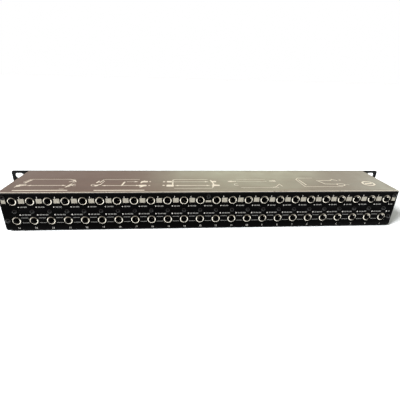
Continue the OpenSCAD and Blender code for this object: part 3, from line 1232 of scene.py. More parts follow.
@dataclass
class JackNoses:
    """The rings around every socket: turned noses in black bushings, and a contact."""

    layout: Layout
    bore: float = 3.3
    liner: float = 3.66
    crest: float = 3.76
    rim: float = 4.30
    bushing: float = 4.7
    bushing_drop: float = 0.65
    bushing_edge: float = 0.2
    chamfer: tuple[float, float] = (0.08, 0.22)
    collar: float = 5.3
    collar_thickness: float = 1.0
    collar_edge: float = 0.12
    depth: float = 3.5
    funnel: tuple[float, float] = (0.3, 2.2)
    funnel_lip: float = 0.08
    contact_width: float = 1.5
    contact_leaf: float = 0.22
    contact_edge: float = 0.04
    contact_angle: float = 30.0
    steps: int = 64

    def nose_profile(self, mouth: float) -> Loop:
        """The metal nose's section, from its seat round to its seat again.

        Args:
            mouth: Height of the outer end above the inside of the panel.

        Returns:
            Points of (radius, height), anticlockwise.
        """
        seat = self.collar_thickness - self.depth
        edge, drop = self.chamfer
        return [
            (self.rim, seat),
            (self.rim, mouth - drop - edge),
            (self.rim - edge, mouth - drop),
            (self.crest, mouth),
            (self.liner, mouth - edge),
            (self.liner, -self.depth),
            (self.collar, -self.depth),
            (self.collar, seat - self.collar_edge),
            (self.collar - self.collar_edge, seat),
        ]

    def bushing_profile(self, mouth: float) -> Loop:
        """The section of the black bushing that fills the panel's hole.

        Args:
            mouth: Height of the nose's outer end above the inside of the panel.

        Returns:
            Points of (radius, height), anticlockwise.
        """
        top, foot = mouth - self.bushing_drop, self.collar_thickness - self.depth
        return [
            (self.rim, foot),
            (self.bushing, foot),
            (self.bushing, top - self.bushing_edge),
            (self.bushing - self.bushing_edge, top),
            (self.rim, top),
        ]

    def liner_profile(self, mouth: float) -> Loop:
        """The black liner's section inside the nose; the liner is partly a black plastic part and partly
        painted shade in the bore.

        Args:
            mouth: Height of the nose's outer end above the inside of the panel.

        Returns:
            Points of (radius, height), anticlockwise.
        """
        start, end = self.funnel
        return [
            (self.liner, mouth - start),
            (self.liner - self.funnel_lip, mouth - start),
            (self.bore, mouth - end),
            (self.bore, -self.depth),
            (self.liner, -self.depth),
        ]

    def contact(self) -> bpy.types.Mesh:
        """The sleeve contact that bends into the bore.

        Returns:
            Its mesh, with X away from the bore's axis and Z out of the bore, from the mouth.
        """
        bend = [(3.18, -1.6), (2.25, -2.25), (2.05, -2.6), (2.2, -3.2), (2.9, -4.6), (3.05, -5.6)]
        left, right = Print.offsets(bend, self.contact_leaf / 2, False)
        mesh = bmesh.new()
        upright = Matrix.Rotation(math.radians(90.0), 4, "X")
        centred = Matrix.Translation((0.0, 0.0, self.contact_width / 2))
        Sheet(left + right[::-1], self.contact_width, self.contact_edge).press(mesh, upright @ centred)
        data = bpy.data.meshes.new("contact")
        mesh.to_mesh(data)
        mesh.free()
        return data

    def build(self) -> None:
        """Builds noses, liners and contacts as one piece each for each row."""
        contact = self.contact()
        turned = Matrix.Rotation(math.radians(self.contact_angle), 4, "Z")
        for side in Side:
            face = self.layout.faces[side]
            for row in Row:
                node = f"{side.value}_{row.value}_jack_noses"
                low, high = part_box(node)
                reach = (high.y - low.y) / MM
                proud = max((corner - face.origin).dot(face.out) for corner in (low, high)) / MM
                mouth = reach - self.depth
                noses, liners, contacts = (bmesh.new() for _ in range(3))
                for u, v in self.layout.jacks[side, row]:
                    seat = face.matrix @ Matrix.Translation((u, v, proud - mouth))
                    turn(noses, self.nose_profile(mouth), seat, self.steps, ring=True)
                    for profile in (self.liner_profile(mouth), self.bushing_profile(mouth)):
                        turn(liners, profile, seat, self.steps // 2, ring=True)
                    outer = face.matrix @ Matrix.Translation((u, v, proud))
                    add_mesh(contacts, contact, outer @ turned)
                publish(f"{node}_turned", noses, NOSE_METAL, stands_for=[node])
                publish(f"{side.value}_{row.value}_jack_liners", liners, BORE_LINER_AND_SHADE)
                publish(f"{side.value}_{row.value}_jack_contacts", contacts, CONTACT)
        bpy.data.meshes.remove(contact)


@dataclass
class Screws:
    """Black pan-head screws with a cross recess and a real thread."""

    layout: Layout
    head: float = 2.8
    dome: float = 3.1
    head_height: float = 1.9
    shank: float = 1.45
    head_edge: tuple[float, float] = (0.16, 0.05)
    flat_angle: float = 84.0
    pitch: float = 0.5
    thread: float = 0.18
    plain_ends: tuple[float, float] = (0.3, 0.7)
    point: float = 0.4
    recess: float = 1.55
    recess_width: float = 0.72
    recess_depth: float = 1.25
    recess_taper: tuple[float, float] = (0.35, 0.6)
    side_length: float = 5.0
    patterns: dict[float, bpy.types.Mesh] = field(default_factory=dict)

    def profile(self, length: float) -> Loop:
        """The screw's section from the top of the head to the tip.

        Args:
            length: Length under the head.

        Returns:
            Points of (radius, height) with the head's seat at height 0.
        """
        crown = self.head_height - self.dome
        edge_angle = math.degrees(math.acos((self.head - 0.1) / self.dome))
        points = [(0.0, self.head_height)]
        points += arc((0.0, crown), self.dome, self.flat_angle, edge_angle, 9)
        edge_top, bevel = self.head_edge
        points += [(self.head, edge_top), (self.head, bevel), (self.head - bevel, 0.0)]
        root = self.shank - self.thread
        turns = int((length - sum(self.plain_ends)) / self.pitch)
        for i in range(turns):
            height = -self.plain_ends[0] - i * self.pitch
            points += [(root, height), (self.shank, height - self.pitch / 2)]
        points += [(root, self.point - length), (self.shank / 2, -length), (0.0, -length)]
        return points

    def pattern(self, length: float) -> bpy.types.Mesh:
        """The finished screw of one length, made once and copied from then on.

        Args:
            length: Length under the head.

        Returns:
            Its mesh in millimetres, pointing down from a seat at height 0.
        """
        if length not in self.patterns:
            self.patterns[length] = self.cut_pattern(length)
        return self.patterns[length]

    def cut_pattern(self, length: float) -> bpy.types.Mesh:
        """Turns a screw and cuts its cross recess.

        Args:
            length: Length under the head.

        Returns:
            Its mesh in millimetres, pointing down from a seat at height 0.
        """
        blank = bmesh.new()
        turn(blank, self.profile(length), Matrix.Identity(4), 32)
        cutter = bmesh.new()
        for angle in (0.0, 90.0):
            self.add_wing(cutter, Matrix.Rotation(math.radians(angle), 4, "Z"))
        bodies = [self.as_object("screw_blank", blank), self.as_object("screw_cutter", cutter)]
        cut = bodies[0].modifiers.new("recess", "BOOLEAN")
        cut.object = bodies[1]
        cut.operation = "DIFFERENCE"
        cut.solver = "EXACT"
        cut.use_self = True
        graph = bpy.context.evaluated_depsgraph_get()
        graph.update()
        finished = bpy.data.meshes.new_from_object(bodies[0].evaluated_get(graph))
        for body in bodies:
            bpy.data.objects.remove(body)
        return finished

    def add_wing(self, mesh: bmesh.types.BMesh, turned: Matrix) -> None:
        """Adds one tapered bar of the cross that cuts the recess.

        Args:
            mesh: The cutter's mesh.
            turned: The bar's turn about the screw's axis.
        """
        top, bottom = self.head_height + 0.5, self.head_height - self.recess_depth
        half = self.recess_width / 2
        high = [(-self.recess, -half), (self.recess, -half), (self.recess, half), (-self.recess, half)]
        low = [(self.recess_taper[0] * x, self.recess_taper[1] * y) for x, y in high]
        upper = [mesh.verts.new(turned @ Vector((x, y, top))) for x, y in high]
        lower = [mesh.verts.new(turned @ Vector((x, y, bottom))) for x, y in low]
        mesh.faces.new(upper)
        mesh.faces.new(lower[::-1])
        for i in range(4):
            j = (i + 1) % 4
            mesh.faces.new((lower[i], lower[j], upper[j], upper[i]))

    @staticmethod
    def as_object(name: str, mesh: bmesh.types.BMesh) -> bpy.types.Object:
        """Links a working mesh to the scene as an object, to be removed again.

        Args:
            name: The object's name.
            mesh: Its mesh, which is freed.

        Returns:
            The object.
        """
        bmesh.ops.recalc_face_normals(mesh, faces=mesh.faces)
        data = bpy.data.meshes.new(name)
        mesh.to_mesh(data)
        mesh.free()
        made = bpy.data.objects.new(name, data)
        bpy.context.scene.collection.objects.link(made)
        return made

    def drive(
        self, node: str, out: Vector, across: Vector, counts: tuple[int, int], turn_step: float
    ) -> None:
        """Puts a screw at every place of one CAD node of screws.

        Args:
            node: The CAD node, whose box gives the places.
            out: The direction that the heads look in.
            across: The direction of the first count.
            counts: Number of screws along across and along the other direction.
            turn_step: Degrees by which each recess is turned on from the last one.
        """
        low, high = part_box(node)
        face = Face(ORIGIN, across, out.cross(across))
        corners = [[corner.dot(d) / MM for corner in (low, high)] for d in (face.right, face.up, out)]
        (u0, u1), (v0, v1), (w0, w1) = (sorted(pair) for pair in corners)
        both_ways = abs(out.x) > 0.5
        seat = w1 - self.head_height
        length = self.side_length if both_ways else seat - w0
        mesh = bmesh.new()
        turning_layer(mesh)
        angle = 0.0
        for way in ((1.0, -1.0) if both_ways else (1.0,)):
            facing = Face(face.origin, across * way, face.up)
            for u in spread(u0 * way, u1 * way, counts[0], math.copysign(self.head, way)):
                for v in spread(v0, v1, counts[1], self.head):
                    angle += turn_step
                    place = facing.matrix @ Matrix.Translation((u, v, seat))
                    turned = Matrix.Rotation(math.radians(angle), 4, "Z")
                    add_mesh(mesh, self.pattern(round(length, 1)), place @ turned)
        publish(f"{node}_turned", mesh, BLACK_SCREW, stands_for=[node], sharp_angle=40.0)

    def build(self) -> None:
        """Builds every group of screws."""
        columns = len(self.layout.columns(Side.REAR))
        self.drive("front_panel_screws", -BACK, RIGHT, (2, 2), 37.0)
        self.drive("rear_panel_screws", BACK, -RIGHT, (2, 1), 41.0)
        self.drive("lid_rear_screws", BACK, -RIGHT, (3, 1), 23.0)
        self.drive("module_screws", BACK, -RIGHT, (columns, 1), 31.0)
        self.drive("lid_side_screws", RIGHT, BACK, (2, 1), 29.0)


@dataclass
class ModeSwitches:
    """The ribbed levers of the three-position mode switches, with slider and wiper."""

    layout: Layout
    lever: tuple[float, float] = (3.0, 2.8)
    slider: tuple[float, float] = (4.6, 5.0)
    slider_ends: tuple[float, float] = (1.3, 3.5)
    wiper_ends: tuple[float, float] = (3.55, 4.1)
    wiper_inset: tuple[float, float] = (0.4, 0.3)
    rib_depth: float = 0.35
    ribs: int = 3
    lever_edge: float = 0.132
    slider_edge: float = 0.15
    wiper_edge: float = 0.1
    block_corner: float = 0.2

    def lever_outline(self, reach: float) -> Loop:
        """The lever seen from above, with ribs across its outer end.

        Args:
            reach: Length of the lever from the slider to its outer end.

        Returns:
            Its closed loop, with the outer end upwards.
        """
        half = self.lever[0] / 2
        step = self.lever[0] / (2 * self.ribs - 1)
        loop = [(half, 0.0)]
        for i in range(2 * self.ribs - 1):
            height = reach - (self.rib_depth if i % 2 else 0.0)
            x = half - i * step
            loop += [(x, height), (x - step, height)]
        return loop + [(-half, 0.0)]

    def build(self) -> None:
        """Builds two pieces for every switch, both riding on that switch's body."""
        bodies = frame["record"]["behaviour"]["bodies"]
        for body, (node, *_) in bodies.items():
            if body == CHASSIS:
                continue
            low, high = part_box(node)
            middle = (low + high) / 2
            outward = Face(middle, RIGHT, -BACK)
            reach = -low.y / MM + self.slider_ends[0]
            foot = Matrix.Translation((0.0, (middle.y / MM) - self.slider_ends[0], self.lever[1] / 2))
            mesh = bmesh.new()
            outline = self.lever_outline(reach)
            Sheet(outline, self.lever[1], self.lever_edge).press(mesh, outward.matrix @ foot)
            self.add_block(mesh, middle, self.slider, self.slider_ends, self.slider_edge)
            publish(f"{node}_lever", mesh, LEVER_PLASTIC, body, [node])
            wiper = bmesh.new()
            size = tuple(whole - 2 * inset for whole, inset in zip(self.slider, self.wiper_inset))
            self.add_block(wiper, middle, size, self.wiper_ends, self.wiper_edge)
            publish(f"{node}_wiper", wiper, BRONZE, body)

    def add_block(
        self,
        mesh: bmesh.types.BMesh,
        middle: Vector,
        size: tuple[float, float],
        ends: tuple[float, float],
        edge: float,
    ) -> None:
        """Adds a rounded block behind the front panel.

        Args:
            mesh: The mesh that takes it.
            middle: The switch's middle in the row frame.
            size: The block's width and height.
            ends: Its front and back, from the back of the front panel.
            edge: Radius of its edges.
        """
        front = Face(Vector((middle.x, ends[0] * MM, middle.z)), RIGHT, UP)
        outline = rounded_box((0.0, 0.0), *size, self.block_corner, 3)
        Sheet(outline, ends[1] - ends[0], edge).press(mesh, front.matrix)


@dataclass(frozen=True)
class Caption:
    """A dot and the bars that stand for words beside it."""

    row: Row
    rise: float
    dot: tuple[float, float]
    words: tuple[tuple[float, float], ...]
    thickness: float


@dataclass
class RearPrint:
    """Print on the rear panel: label boxes, dots, bars and channel numbers."""

    layout: Layout
    captions: tuple[Caption, ...] = (
        Caption(Row.UPPER, -6.8, (5.2, 1.3), ((7.0, 9.6), (10.2, 13.5)), 1.25),
        Caption(Row.LOWER, 6.9, (5.0, 1.6), ((7.0, 9.2), (9.8, 12.4), (13.0, 16.0)), 1.3),
    )
    box: tuple[float, float] = (6.0, 5.2)
    end_box: float = 4.2
    box_shift: float = 9.1
    box_rise: float = 0.1
    cut_box_height: float = 2.2
    tick: tuple[float, float] = (0.6, 1.9)
    tick_shift: float = -0.28
    tick_gap: float = 0.4
    ruled_box: tuple[float, float] = (7.2, 5.8)
    ruled_line: float = 0.6
    ruled_rise: float = 0.3
    number_height: float = 2.0
    number_spot: tuple[float, float] = (0.6, -9.3)
    print_end: float = 218.0

    def build(self) -> None:
        """Prints the label boxes, the white marks and the grey marks as three pieces."""
        labels, white, grey = (Print(self.layout.faces[Side.REAR]) for _ in range(3))
        columns = self.layout.columns(Side.REAR)
        self.print_label_boxes(labels, white, columns)
        shift, rise = self.number_spot
        number_height = self.layout.height(Side.REAR, Row.LOWER) + rise
        for i, u in enumerate(columns):
            for caption in self.captions:
                self.print_caption(white, grey, u, caption)
            if u < columns[-1]:
                self.print_ruled_box(grey, u + self.box_shift)
            white.number(str(len(columns) - i), u + shift, number_height, self.number_height)
        labels.publish("rear_label_boxes", LABEL_INK, "rear_paint")
        white.publish("rear_print_white", WHITE_INK, "rear_paint")
        grey.publish("rear_print_grey", GREY_INK, "rear_paint")

    def print_label_boxes(self, labels: Print, white: Print, columns: list[float]) -> None:
        """Prints a filled writing box in every gap of the upper row.

        Args:
            labels: Takes the boxes.
            white: Takes the tick over each box.
            columns: The jack columns.
        """
        height = self.layout.height(Side.REAR, Row.UPPER) + self.box_rise
        gaps = [columns[0] - self.layout.pitch + self.box_shift, *(u + self.box_shift for u in columns)]
        wide, tall = self.box
        for i, u in enumerate(gaps):
            at_end = i in (0, len(gaps) - 1)
            width = self.end_box if at_end else wide
            under_screw = abs(u) < self.layout.pitch / 4
            top = height - tall / 2 + (self.cut_box_height if under_screw else tall)
            labels.patch(box_loop(u - width / 2, height - tall / 2, u + width / 2, top))
            if not under_screw and not at_end:
                left, bottom = u + self.tick_shift * wide, top + self.tick_gap
                white.patch(box_loop(left, bottom, left + self.tick[0], bottom + self.tick[1]))

    def print_caption(self, white: Print, grey: Print, u: float, caption: Caption) -> None:
        """Prints one caption of a column, without words that would leave the panel.

        Args:
            white: Takes the dot.
            grey: Takes the bars.
            u: The column.
            caption: What is printed.
        """
        height = self.layout.height(Side.REAR, caption.row) + caption.rise
        shift, diameter = caption.dot
        white.dot(u + shift, height, diameter)
        for left, right in caption.words:
            if u + right < self.print_end:
                grey.bar(u + left, u + right, height, caption.thickness)

    def print_ruled_box(self, grey: Print, u: float) -> None:
        """Prints the lines over and under a writing space in the lower row.

        Args:
            grey: Takes the lines.
            u: The middle of the space.
        """
        half, tall = self.ruled_box[0] / 2, self.ruled_box[1]
        height = self.layout.height(Side.REAR, Row.LOWER) + self.ruled_rise
        for rise in (-tall / 2, tall / 2):
            grey.bar(u - half, u + half, height + rise, self.ruled_line)


@dataclass
class FrontPrint:
    """Print on the front panel: channel numbers, writing boxes and mode ticks."""

    layout: Layout
    number_height: float = 2.2
    number_gap: float = 7.4
    lower_number_drop: float = 0.3
    box: tuple[float, float] = (6.0, 5.2)
    box_corner: float = 0.3
    tick: tuple[float, float] = (0.4, 1.1)
    tick_rise: float = 2.6
    tick_shifts: tuple[float, ...] = (-2.0, 0.0, 2.0)
    end_line_gap: float = 7.0
    end_line_inset: float = 4.0
    end_line: float = 0.35

    def build(self) -> None:
        """Prints the front panel."""
        white, labels = (Print(self.layout.faces[Side.FRONT]) for _ in range(2))
        upper, lower = (self.layout.height(Side.FRONT, row) for row in Row)
        lower_numbers = lower - self.number_gap - self.lower_number_drop
        wide, tall = self.tick
        bottom = (upper + lower) / 2 + self.tick_rise
        columns = self.layout.columns(Side.FRONT)
        for channel, u in enumerate(columns, start=1):
            white.number(str(channel), u, upper + self.number_gap, self.number_height)
            white.number(str(channel), u, lower_numbers, self.number_height)
            for shift in self.tick_shifts:
                left = u + shift - wide / 2
                white.patch(box_loop(left, bottom, left + wide, bottom + tall))
        for u in columns[:-1]:
            gap = u + self.layout.pitch / 2
            for height in (upper, lower):
                labels.patch(rounded_box((gap, height), *self.box, self.box_corner, 3))
        line_ends = (upper - self.end_line_inset, lower + self.end_line_inset)
        for u in (columns[0] - self.end_line_gap, columns[-1] + self.end_line_gap):
            white.line([(u, v) for v in line_ends], self.end_line)
        white.publish("front_print_white", WHITE_INK, "front_paint")
        labels.publish("front_label_boxes", LABEL_INK, "front_paint")


@dataclass
class LidPrint:
    """Wiring sketches of the switch modes, in one row along the lid's rear edge."""

    layout: Layout
    spacing: float = 79.0
    first: float = -2.25
    mark: float = 2.5
    mark_rise: float = 23.5
    hair: float = 0.56
    fine: float = 0.8
    medium: float = 1.15
    strong: float = 1.6
    bold: float = 2.0
    arrow_size: tuple[float, float] = (4.4, 3.4)
    arrow_reach: float = 2.6

    def build(self) -> None:
        """Prints the five sketches and a plain round mark."""
        ink = Print(self.layout.lid)
        sketches: list[Callable[[Print, float], None]] = [
            self.sketch_normal,
            self.sketch_half_normal,
            self.sketch_parallel,
            self.sketch_split,
            self.sketch_open,
        ]
        for i, sketch in enumerate(sketches):
            sketch(ink, (self.first + i) * self.spacing)
        self.draw_mark(ink, self.mark * self.spacing)
        ink.publish("lid_print", LID_INK, "lid_paint")

    def arrow_wire(
        self,
        ink: Print,
        left: float,
        right: float,
        height: float,
        width: float,
        headings: Sequence[Heading] = (Heading.LEFT, Heading.RIGHT),
    ) -> None:
        """Prints a straight signal line with arrows at its ends.

        Args:
            ink: The print that takes it.
            left: Its left end.
            right: Its right end.
            height: Its height on the lid.
            width: Its width.
            headings: The ways that it points; both of them if nothing is said.
        """
        ink.bar(left, right, height, width)
        for heading in headings:
            end = left if heading is Heading.LEFT else right
            ink.arrow((end + heading.value * self.arrow_reach, height), heading, *self.arrow_size)

    def sketch_normal(self, ink: Print, u: float) -> None:
        """Sketches both signals passing straight through.

        Args:
            ink: The print that takes it.
            u: The sketch's middle.
        """
        ink.bar(u - 23.5, u + 18.5, 40.4, self.fine)
        self.arrow_wire(ink, u - 19.0, u + 18.0, 20.4, self.medium)
        ink.bar(u - 30.0, u + 26.5, 6.0, self.bold)
        ink.line([(u - 23.5, 39.4), (u - 27.0, 28.3)], self.bold)
        ink.line([(u - 25.6, 41.0), (u - 29.6, 30.6)], self.fine)
        ink.plug((u - 21.5, 22.0), Heading.RIGHT, 11.0, 16.0)
        ink.line([(u - 32.0, 15.0), (u - 30.0, 23.5), (u - 24.0, 25.0)], self.medium)
        ink.line([(u + 18.5, 40.4), (u + 25.0, 37.6), (u + 27.6, 32.0), (u + 24.0, 30.2)], self.medium)
        ink.plug((u + 19.5, 32.0), Heading.LEFT, 7.0, 35.0)
        ink.line([(u + 21.5, 14.8), (u + 25.2, 25.6)], self.bold)
        ink.line([(u + 24.0, 16.5), (u + 28.2, 25.0)], self.medium)
        ink.line(arc((u + 29.0, 21.5), 2.3, 60.0, 330.0, 10), self.fine)
        ink.bar(u + 16.5, u + 21.5, 9.6, self.fine)

    def sketch_half_normal(self, ink: Print, u: float) -> None:
        """Sketches the lower signal passing through with a branch to the upper jack.

        Args:
            ink: The print that takes it.
            u: The sketch's middle.
        """
        ink.bar(u - 21.0, u + 20.0, 39.6, self.fine)
        self.arrow_wire(ink, u - 17.5, u + 20.0, 19.5, self.medium)
        ink.bar(u - 25.0, u + 29.0, 5.2, self.bold)
        self.arrow_wire(ink, u + 6.0, u + 17.0, 31.7, self.fine, [Heading.RIGHT])
        ink.line([(u - 21.2, 38.6), (u - 24.0, 28.5)], self.medium)
        ink.line([(u - 25.5, 34.5), (u - 27.5, 28.0)], self.bold)
        ink.line([(u - 19.6, 34.0), (u - 21.8, 23.0)], self.fine)
        ink.plug((u - 21.0, 24.0), Heading.RIGHT, 8.5, 42.0)
        ink.line(arc((u - 29.0, 21.0), 2.6, 60.0, 320.0, 12), self.fine)
        ink.line([(u + 2.2, 19.8), (u + 3.9, 31.5)], self.bold)
        ink.line([(u + 22.5, 27.0), (u + 26.5, 35.0)], self.bold)
        ink.patch(rounded_box((u + 26.5, 31.6), 8.0, 4.2, 1.6))
        ink.patch(rounded_box((u + 25.5, 19.2), 9.0, 4.8, 1.6))
        ink.line([(u + 22.8, 14.0), (u + 28.0, 18.5)], self.bold)
        for height in (31.6, 19.2):
            ink.dot(u + 33.0, height, 2.2)

    def sketch_parallel(self, ink: Print, u: float) -> None:
        """Sketches all four jacks joined to one another.

        Args:
            ink: The print that takes it.
            u: The sketch's middle.
        """
        ink.line([(u - 19.6, 15.5), (u - 19.6, 37.5)], self.strong)
        ink.bar(u - 19.5, u + 22.0, 38.8, self.fine)
        self.arrow_wire(ink, u - 19.5, u + 20.0, 31.1, self.fine, [Heading.RIGHT])
        self.arrow_wire(ink, u - 15.0, u + 21.0, 18.9, self.medium * 1.1)
        ink.bar(u - 18.0, u + 25.0, 10.0, self.fine * 0.8)
        for height in (31.3, 19.4):
            ink.patch(rounded_box((u - 23.0, height), 7.5, 4.6, 1.6))
            ink.dot(u - 29.8, height, 2.8)
            ink.patch(rounded_box((u + 28.5, height), 6.5, 4.6, 1.6))
        ink.patch(rounded_box((u - 22.5, 18.6), 8.5, 6.0, 1.6))
        ink.patch(rounded_box((u + 31.5, 19.0), 6.0, 4.0, 1.4))
        ink.line([(u + 25.2, 36.5), (u + 27.0, 30.0), (u + 28.0, 20.0), (u + 25.2, 12.5)], self.strong)

    def sketch_split(self, ink: Print, u: float) -> None:
        """Sketches the upper pair joined and the lower pair apart.

        Args:
            ink: The print that takes it.
            u: The sketch's middle.
        """
        ink.plug((u - 22.5, 32.0), Heading.RIGHT, 8.5)
        ink.dot(u - 32.0, 31.8, 2.4)
        ink.bar(u - 22.0, u + 14.0, 38.9, self.hair)
        ink.bar(u - 22.0, u + 14.0, 31.5, self.hair)
        ink.line(arc((u - 24.5, 21.0), 2.8, 50.0, 310.0, 14), self.fine)
        ink.bar(u - 21.0, u + 23.0, 11.7, self.hair)
        ink.plug((u + 17.0, 33.0), Heading.LEFT, 8.5)
        ink.line([(u + 16.0, 12.0), (u + 21.0, 14.5), (u + 27.0, 22.5), (u + 28.5, 15.5)], self.fine)

    def sketch_open(self, ink: Print, u: float) -> None:
        """Sketches every jack on its own.

        Args:
            ink: The print that takes it.
            u: The sketch's middle.
        """
        outer = [(-3.0, 43.2), (-22.0, 43.2), (-26.0, 38.0), (-24.0, 14.0), (22.0, 13.7)]
        ink.line([(u + x, y) for x, y in outer], self.fine)
        ink.line([(u - 23.0, 38.0), (u - 20.5, 19.0)], self.medium)
        ink.line([(u + 1.0, 34.3), (u + 16.0, 34.3), (u + 20.5, 38.0), (u + 25.0, 33.5)], self.medium)
        ink.line([(u - 1.0, 35.0), (u + 4.0, 22.5), (u + 19.0, 21.5)], self.medium)
        ink.line(rounded_box((u + 22.5, 20.0), 9.0, 6.0, 2.6), self.medium, closed=True)
        ink.line([(u + 27.0, 20.0), (u + 33.0, 20.0)], self.hair)
        ink.dot(u + 29.5, 36.0, 2.4)

    def draw_mark(self, ink: Print, u: float) -> None:
        """Draws a plain round mark: a ring around a bar.

        Args:
            ink: The print that takes it.
            u: The mark's middle.
        """
        ring = circle((0.0, self.mark_rise), 6.4, 40)
        ink.line([(u + 1.05 * x, y) for x, y in ring], 2.1, closed=True)
        ink.patch(rounded_box((u, self.mark_rise), 9.0, 3.0, 1.4))


@dataclass
class Insides:
    """The tray and every part inside the box, which keep their CAD shapes."""

    finishes: dict[str, Finish] = field(
        default_factory=lambda: {
            "chassis_tray": TRAY_PAINT,
            "press_nuts": ZINC,
            **{f"{side.value}_{row.value}_jack_bodies": JACK_PLASTIC for side in Side for row in Row},
            "tip_springs": SPRING_METAL,
            "ring_springs": SPRING_METAL,
            "sleeve_springs": SPRING_METAL,
            "normalling_springs": SPRING_METAL,
            "channel_boards": BOARD,
            "module_brackets": ZINC,
            "board_guide": NYLON,
            "floor_insulation": FILM,
            "switch_housings": SWITCH_PLASTIC,
            "switch_terminals": SPRING_METAL,
        }
    )

    def dress(self) -> None:
        """Gives every carried-over CAD node its finish."""
        for node, finish in self.finishes.items():
            data = frame["nodes"][node].data
            data.materials.clear()
            data.materials.append(finish.material())
            LOG.info("%s: CAD node in %s", node, finish.name)


# ------------------------------------------------------------------------------ studio


@dataclass(frozen=True)
class SoftSun:
    """A distant soft light that lights only chosen things."""

    name: str
    toward: tuple[float, float, float]
    spread: float
    strength: float
    tint: Colour = (1.0, 1.0, 1.0)

    def hang(self, only_on: Sequence[bpy.types.Object]) -> None:
        """Adds the light to the scene.

        Args:
            only_on: What it lights; everything else casts shadows but is not lit by it.
        """
        lamp = bpy.data.lights.new(self.name, "SUN")
        lamp.angle = math.radians(self.spread)
        lamp.energy = self.strength
        lamp.color = self.tint
        sun = bpy.data.objects.new(self.name, lamp)
        sun.rotation_euler = Vector(self.toward).to_track_quat("Z", "Y").to_euler()
        bpy.context.scene.collection.objects.link(sun)
        lit = bpy.data.collections.new(f"{self.name}_lit")
        for thing in only_on:
            lit.objects.link(thing)
        sun.light_linking.receiver_collection = lit


@dataclass(frozen=True)
class Glow:
    """A soft bright region of the surround, round one direction."""

    toward: tuple[float, float, float]
    reach: float
    core: float
    strength: float
    tint: Colour


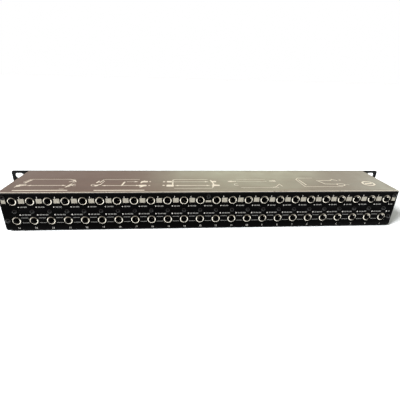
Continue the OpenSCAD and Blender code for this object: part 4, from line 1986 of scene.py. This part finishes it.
@dataclass
class Studio:
    """Pale floor, soft light and the camera."""

    layout: Layout
    camera_place: tuple[float, float, float] = (34.2, 361.4, 141.2)
    azimuth: float = 175.1
    elevation: float = 23.92
    roll: float = 1.565
    lens: float = 26.0
    sensor: float = 36.0
    sight: tuple[float, float] = (0.01, 50.0)
    floor_reach: float = 6.0
    floor_gap: float = 1.5
    floor_foot: float = 20.0
    sky: float = 1.0
    horizon: float = 0.76
    horizon_span: tuple[float, float] = (0.25, 0.75)
    near_sky: float = 0.12
    near_span: tuple[float, float] = (0.40, 0.85)
    sky_tint: Colour = (1.0, 0.97, 0.93)
    glows: tuple[Glow, ...] = (
        Glow((-0.22, -0.91, 0.33), 0.915, 0.995, 2.5, (0.84, 1.0, 0.70)),
        Glow((-0.80, -0.53, 0.27), 0.90, 0.98, 1.8, (0.82, 1.0, 0.78)),
    )
    floor_sun: SoftSun = SoftSun("floor_sun", (1.4, 0.7, 1.1), 26.0, 17.5, (0.97, 0.99, 1.0))

    def lay_floor(self) -> bpy.types.Object:
        """Lays a large floor just under the tray.

        Returns:
            The floor.
        """
        mesh = bmesh.new()
        reach = self.floor_reach / MM
        under = Matrix.Translation((0.0, 0.0, self.layout.floor_height)) @ Matrix.Scale(MM, 4)
        prism(mesh, box_loop(-reach, -reach, reach, reach), -self.floor_foot, -self.floor_gap, under)
        data = bpy.data.meshes.new("floor")
        mesh.to_mesh(data)
        mesh.free()
        data.materials.append(FLOOR.material())
        floor = bpy.data.objects.new("floor", data)
        bpy.context.scene.collection.objects.link(floor)
        return floor

    def light(self, floor: bpy.types.Object) -> None:
        """Lights the floor and sets the surround, which the camera itself sees as white.

        Args:
            floor: The floor, which has a light of its own.
        """
        self.floor_sun.hang([floor])
        world = bpy.data.worlds.new("surround")
        world.use_nodes = True
        tree = world.node_tree
        tree.nodes.clear()
        felt = self.surround(tree)
        seen = tree.nodes.new("ShaderNodeBackground")
        seen.inputs["Color"].default_value = (1.0, 1.0, 1.0, 1.0)
        path = tree.nodes.new("ShaderNodeLightPath")
        choice = tree.nodes.new("ShaderNodeMixShader")
        output = tree.nodes.new("ShaderNodeOutputWorld")
        wires = (
            (path.outputs["Is Camera Ray"], choice.inputs[0]),
            (felt, choice.inputs[1]),
            (seen.outputs[0], choice.inputs[2]),
            (choice.outputs[0], output.inputs["Surface"]),
        )
        for source, target in wires:
            tree.links.new(source, target)
        bpy.context.scene.world = world

    def surround(self, tree: bpy.types.NodeTree) -> Socket:
        """Lays out the sky that lights the scene, dimmer on the camera's side, and its glows.

        Args:
            tree: The world's node tree.

        Returns:
            The surround's shader output.
        """
        way = tree.nodes.new("ShaderNodeTexCoord").outputs["Generated"]
        parts = tree.nodes.new("ShaderNodeSeparateXYZ")
        tree.links.new(way, parts.inputs[0])
        near = self.ramp(tree, parts.outputs["Y"], self.near_span, (self.sky, self.near_sky))
        low = self.ramp(tree, parts.outputs["Z"], self.horizon_span, (self.horizon, 1.0))
        sky = tree.nodes.new("ShaderNodeMath")
        sky.operation = "MULTIPLY"
        tree.links.new(near, sky.inputs[0])
        tree.links.new(low, sky.inputs[1])
        felt = self.backing(tree, sky.outputs[0], self.sky_tint)
        for glow in self.glows:
            aside = tree.nodes.new("ShaderNodeVectorMath")
            aside.operation = "DOT_PRODUCT"
            aside.inputs[1].default_value = Vector(glow.toward).normalized()
            tree.links.new(way, aside.inputs[0])
            ends = (0.0, glow.strength)
            strength = self.ramp(tree, aside.outputs["Value"], (glow.reach, glow.core), ends)
            both = tree.nodes.new("ShaderNodeAddShader")
            tree.links.new(felt, both.inputs[0])
            tree.links.new(self.backing(tree, strength, glow.tint), both.inputs[1])
            felt = both.outputs[0]
        return felt

    @staticmethod
    def backing(tree: bpy.types.NodeTree, strength: Socket, tint: Colour) -> Socket:
        """Adds one layer of the surround.

        Args:
            tree: The world's node tree.
            strength: Its brightness.
            tint: Its colour.

        Returns:
            The layer's output.
        """
        layer = tree.nodes.new("ShaderNodeBackground")
        layer.inputs["Color"].default_value = (*tint, 1.0)
        tree.links.new(strength, layer.inputs["Strength"])
        return layer.outputs[0]

    @staticmethod
    def ramp(
        tree: bpy.types.NodeTree, value: Socket, span: tuple[float, float], ends: tuple[float, float]
    ) -> Socket:
        """Adds a smooth step from one value to another.

        Args:
            tree: The world's node tree.
            value: What is mapped.
            span: Where the step starts and ends.
            ends: Results before and after the step.

        Returns:
            The mapped value.
        """
        node = tree.nodes.new("ShaderNodeMapRange")
        node.interpolation_type = "SMOOTHSTEP"
        for name, number in zip(("From Min", "From Max", "To Min", "To Max"), (*span, *ends)):
            node.inputs[name].default_value = number
        tree.links.new(value, node.inputs["Value"])
        return node.outputs["Result"]

    def set_camera(self) -> None:
        """Sets up the camera above and behind the rear panel."""
        lens = bpy.data.cameras.new("camera")
        lens.lens = self.lens
        lens.sensor_width = self.sensor
        lens.clip_start, lens.clip_end = self.sight
        a, e = math.radians(self.azimuth), math.radians(self.elevation)
        back = Vector((math.sin(a) * math.cos(e), -math.cos(a) * math.cos(e), math.sin(e)))
        camera = bpy.data.objects.new("camera", lens)
        camera.location = Vector(self.camera_place) * MM
        camera.rotation_mode = "QUATERNION"
        level = (-back).to_track_quat("-Z", "Y")
        camera.rotation_quaternion = level @ Quaternion((0.0, 0.0, 1.0), math.radians(self.roll))
        bpy.context.scene.collection.objects.link(camera)
        bpy.context.scene.camera = camera

    def build(self) -> None:
        """Sets up floor, light, camera and the film's response."""
        self.light(self.lay_floor())
        self.set_camera()
        film = bpy.context.scene.view_settings
        film.view_transform = "Standard"
        film.look = "None"


def main() -> None:
    """Builds the patch bay around its frame."""
    logging.basicConfig(level=logging.INFO, format="%(name)s: %(message)s")
    layout = Layout.read()
    panels = Panels(layout)
    panels.build_front()
    panels.build_rear()
    Lid(layout).build()
    JackNoses(layout).build()
    Screws(layout).build()
    ModeSwitches(layout).build()
    RearPrint(layout).build()
    FrontPrint(layout).build()
    LidPrint(layout).build()
    Insides().dress()
    Studio(layout).build()


if __name__ == "__main__":
    main()
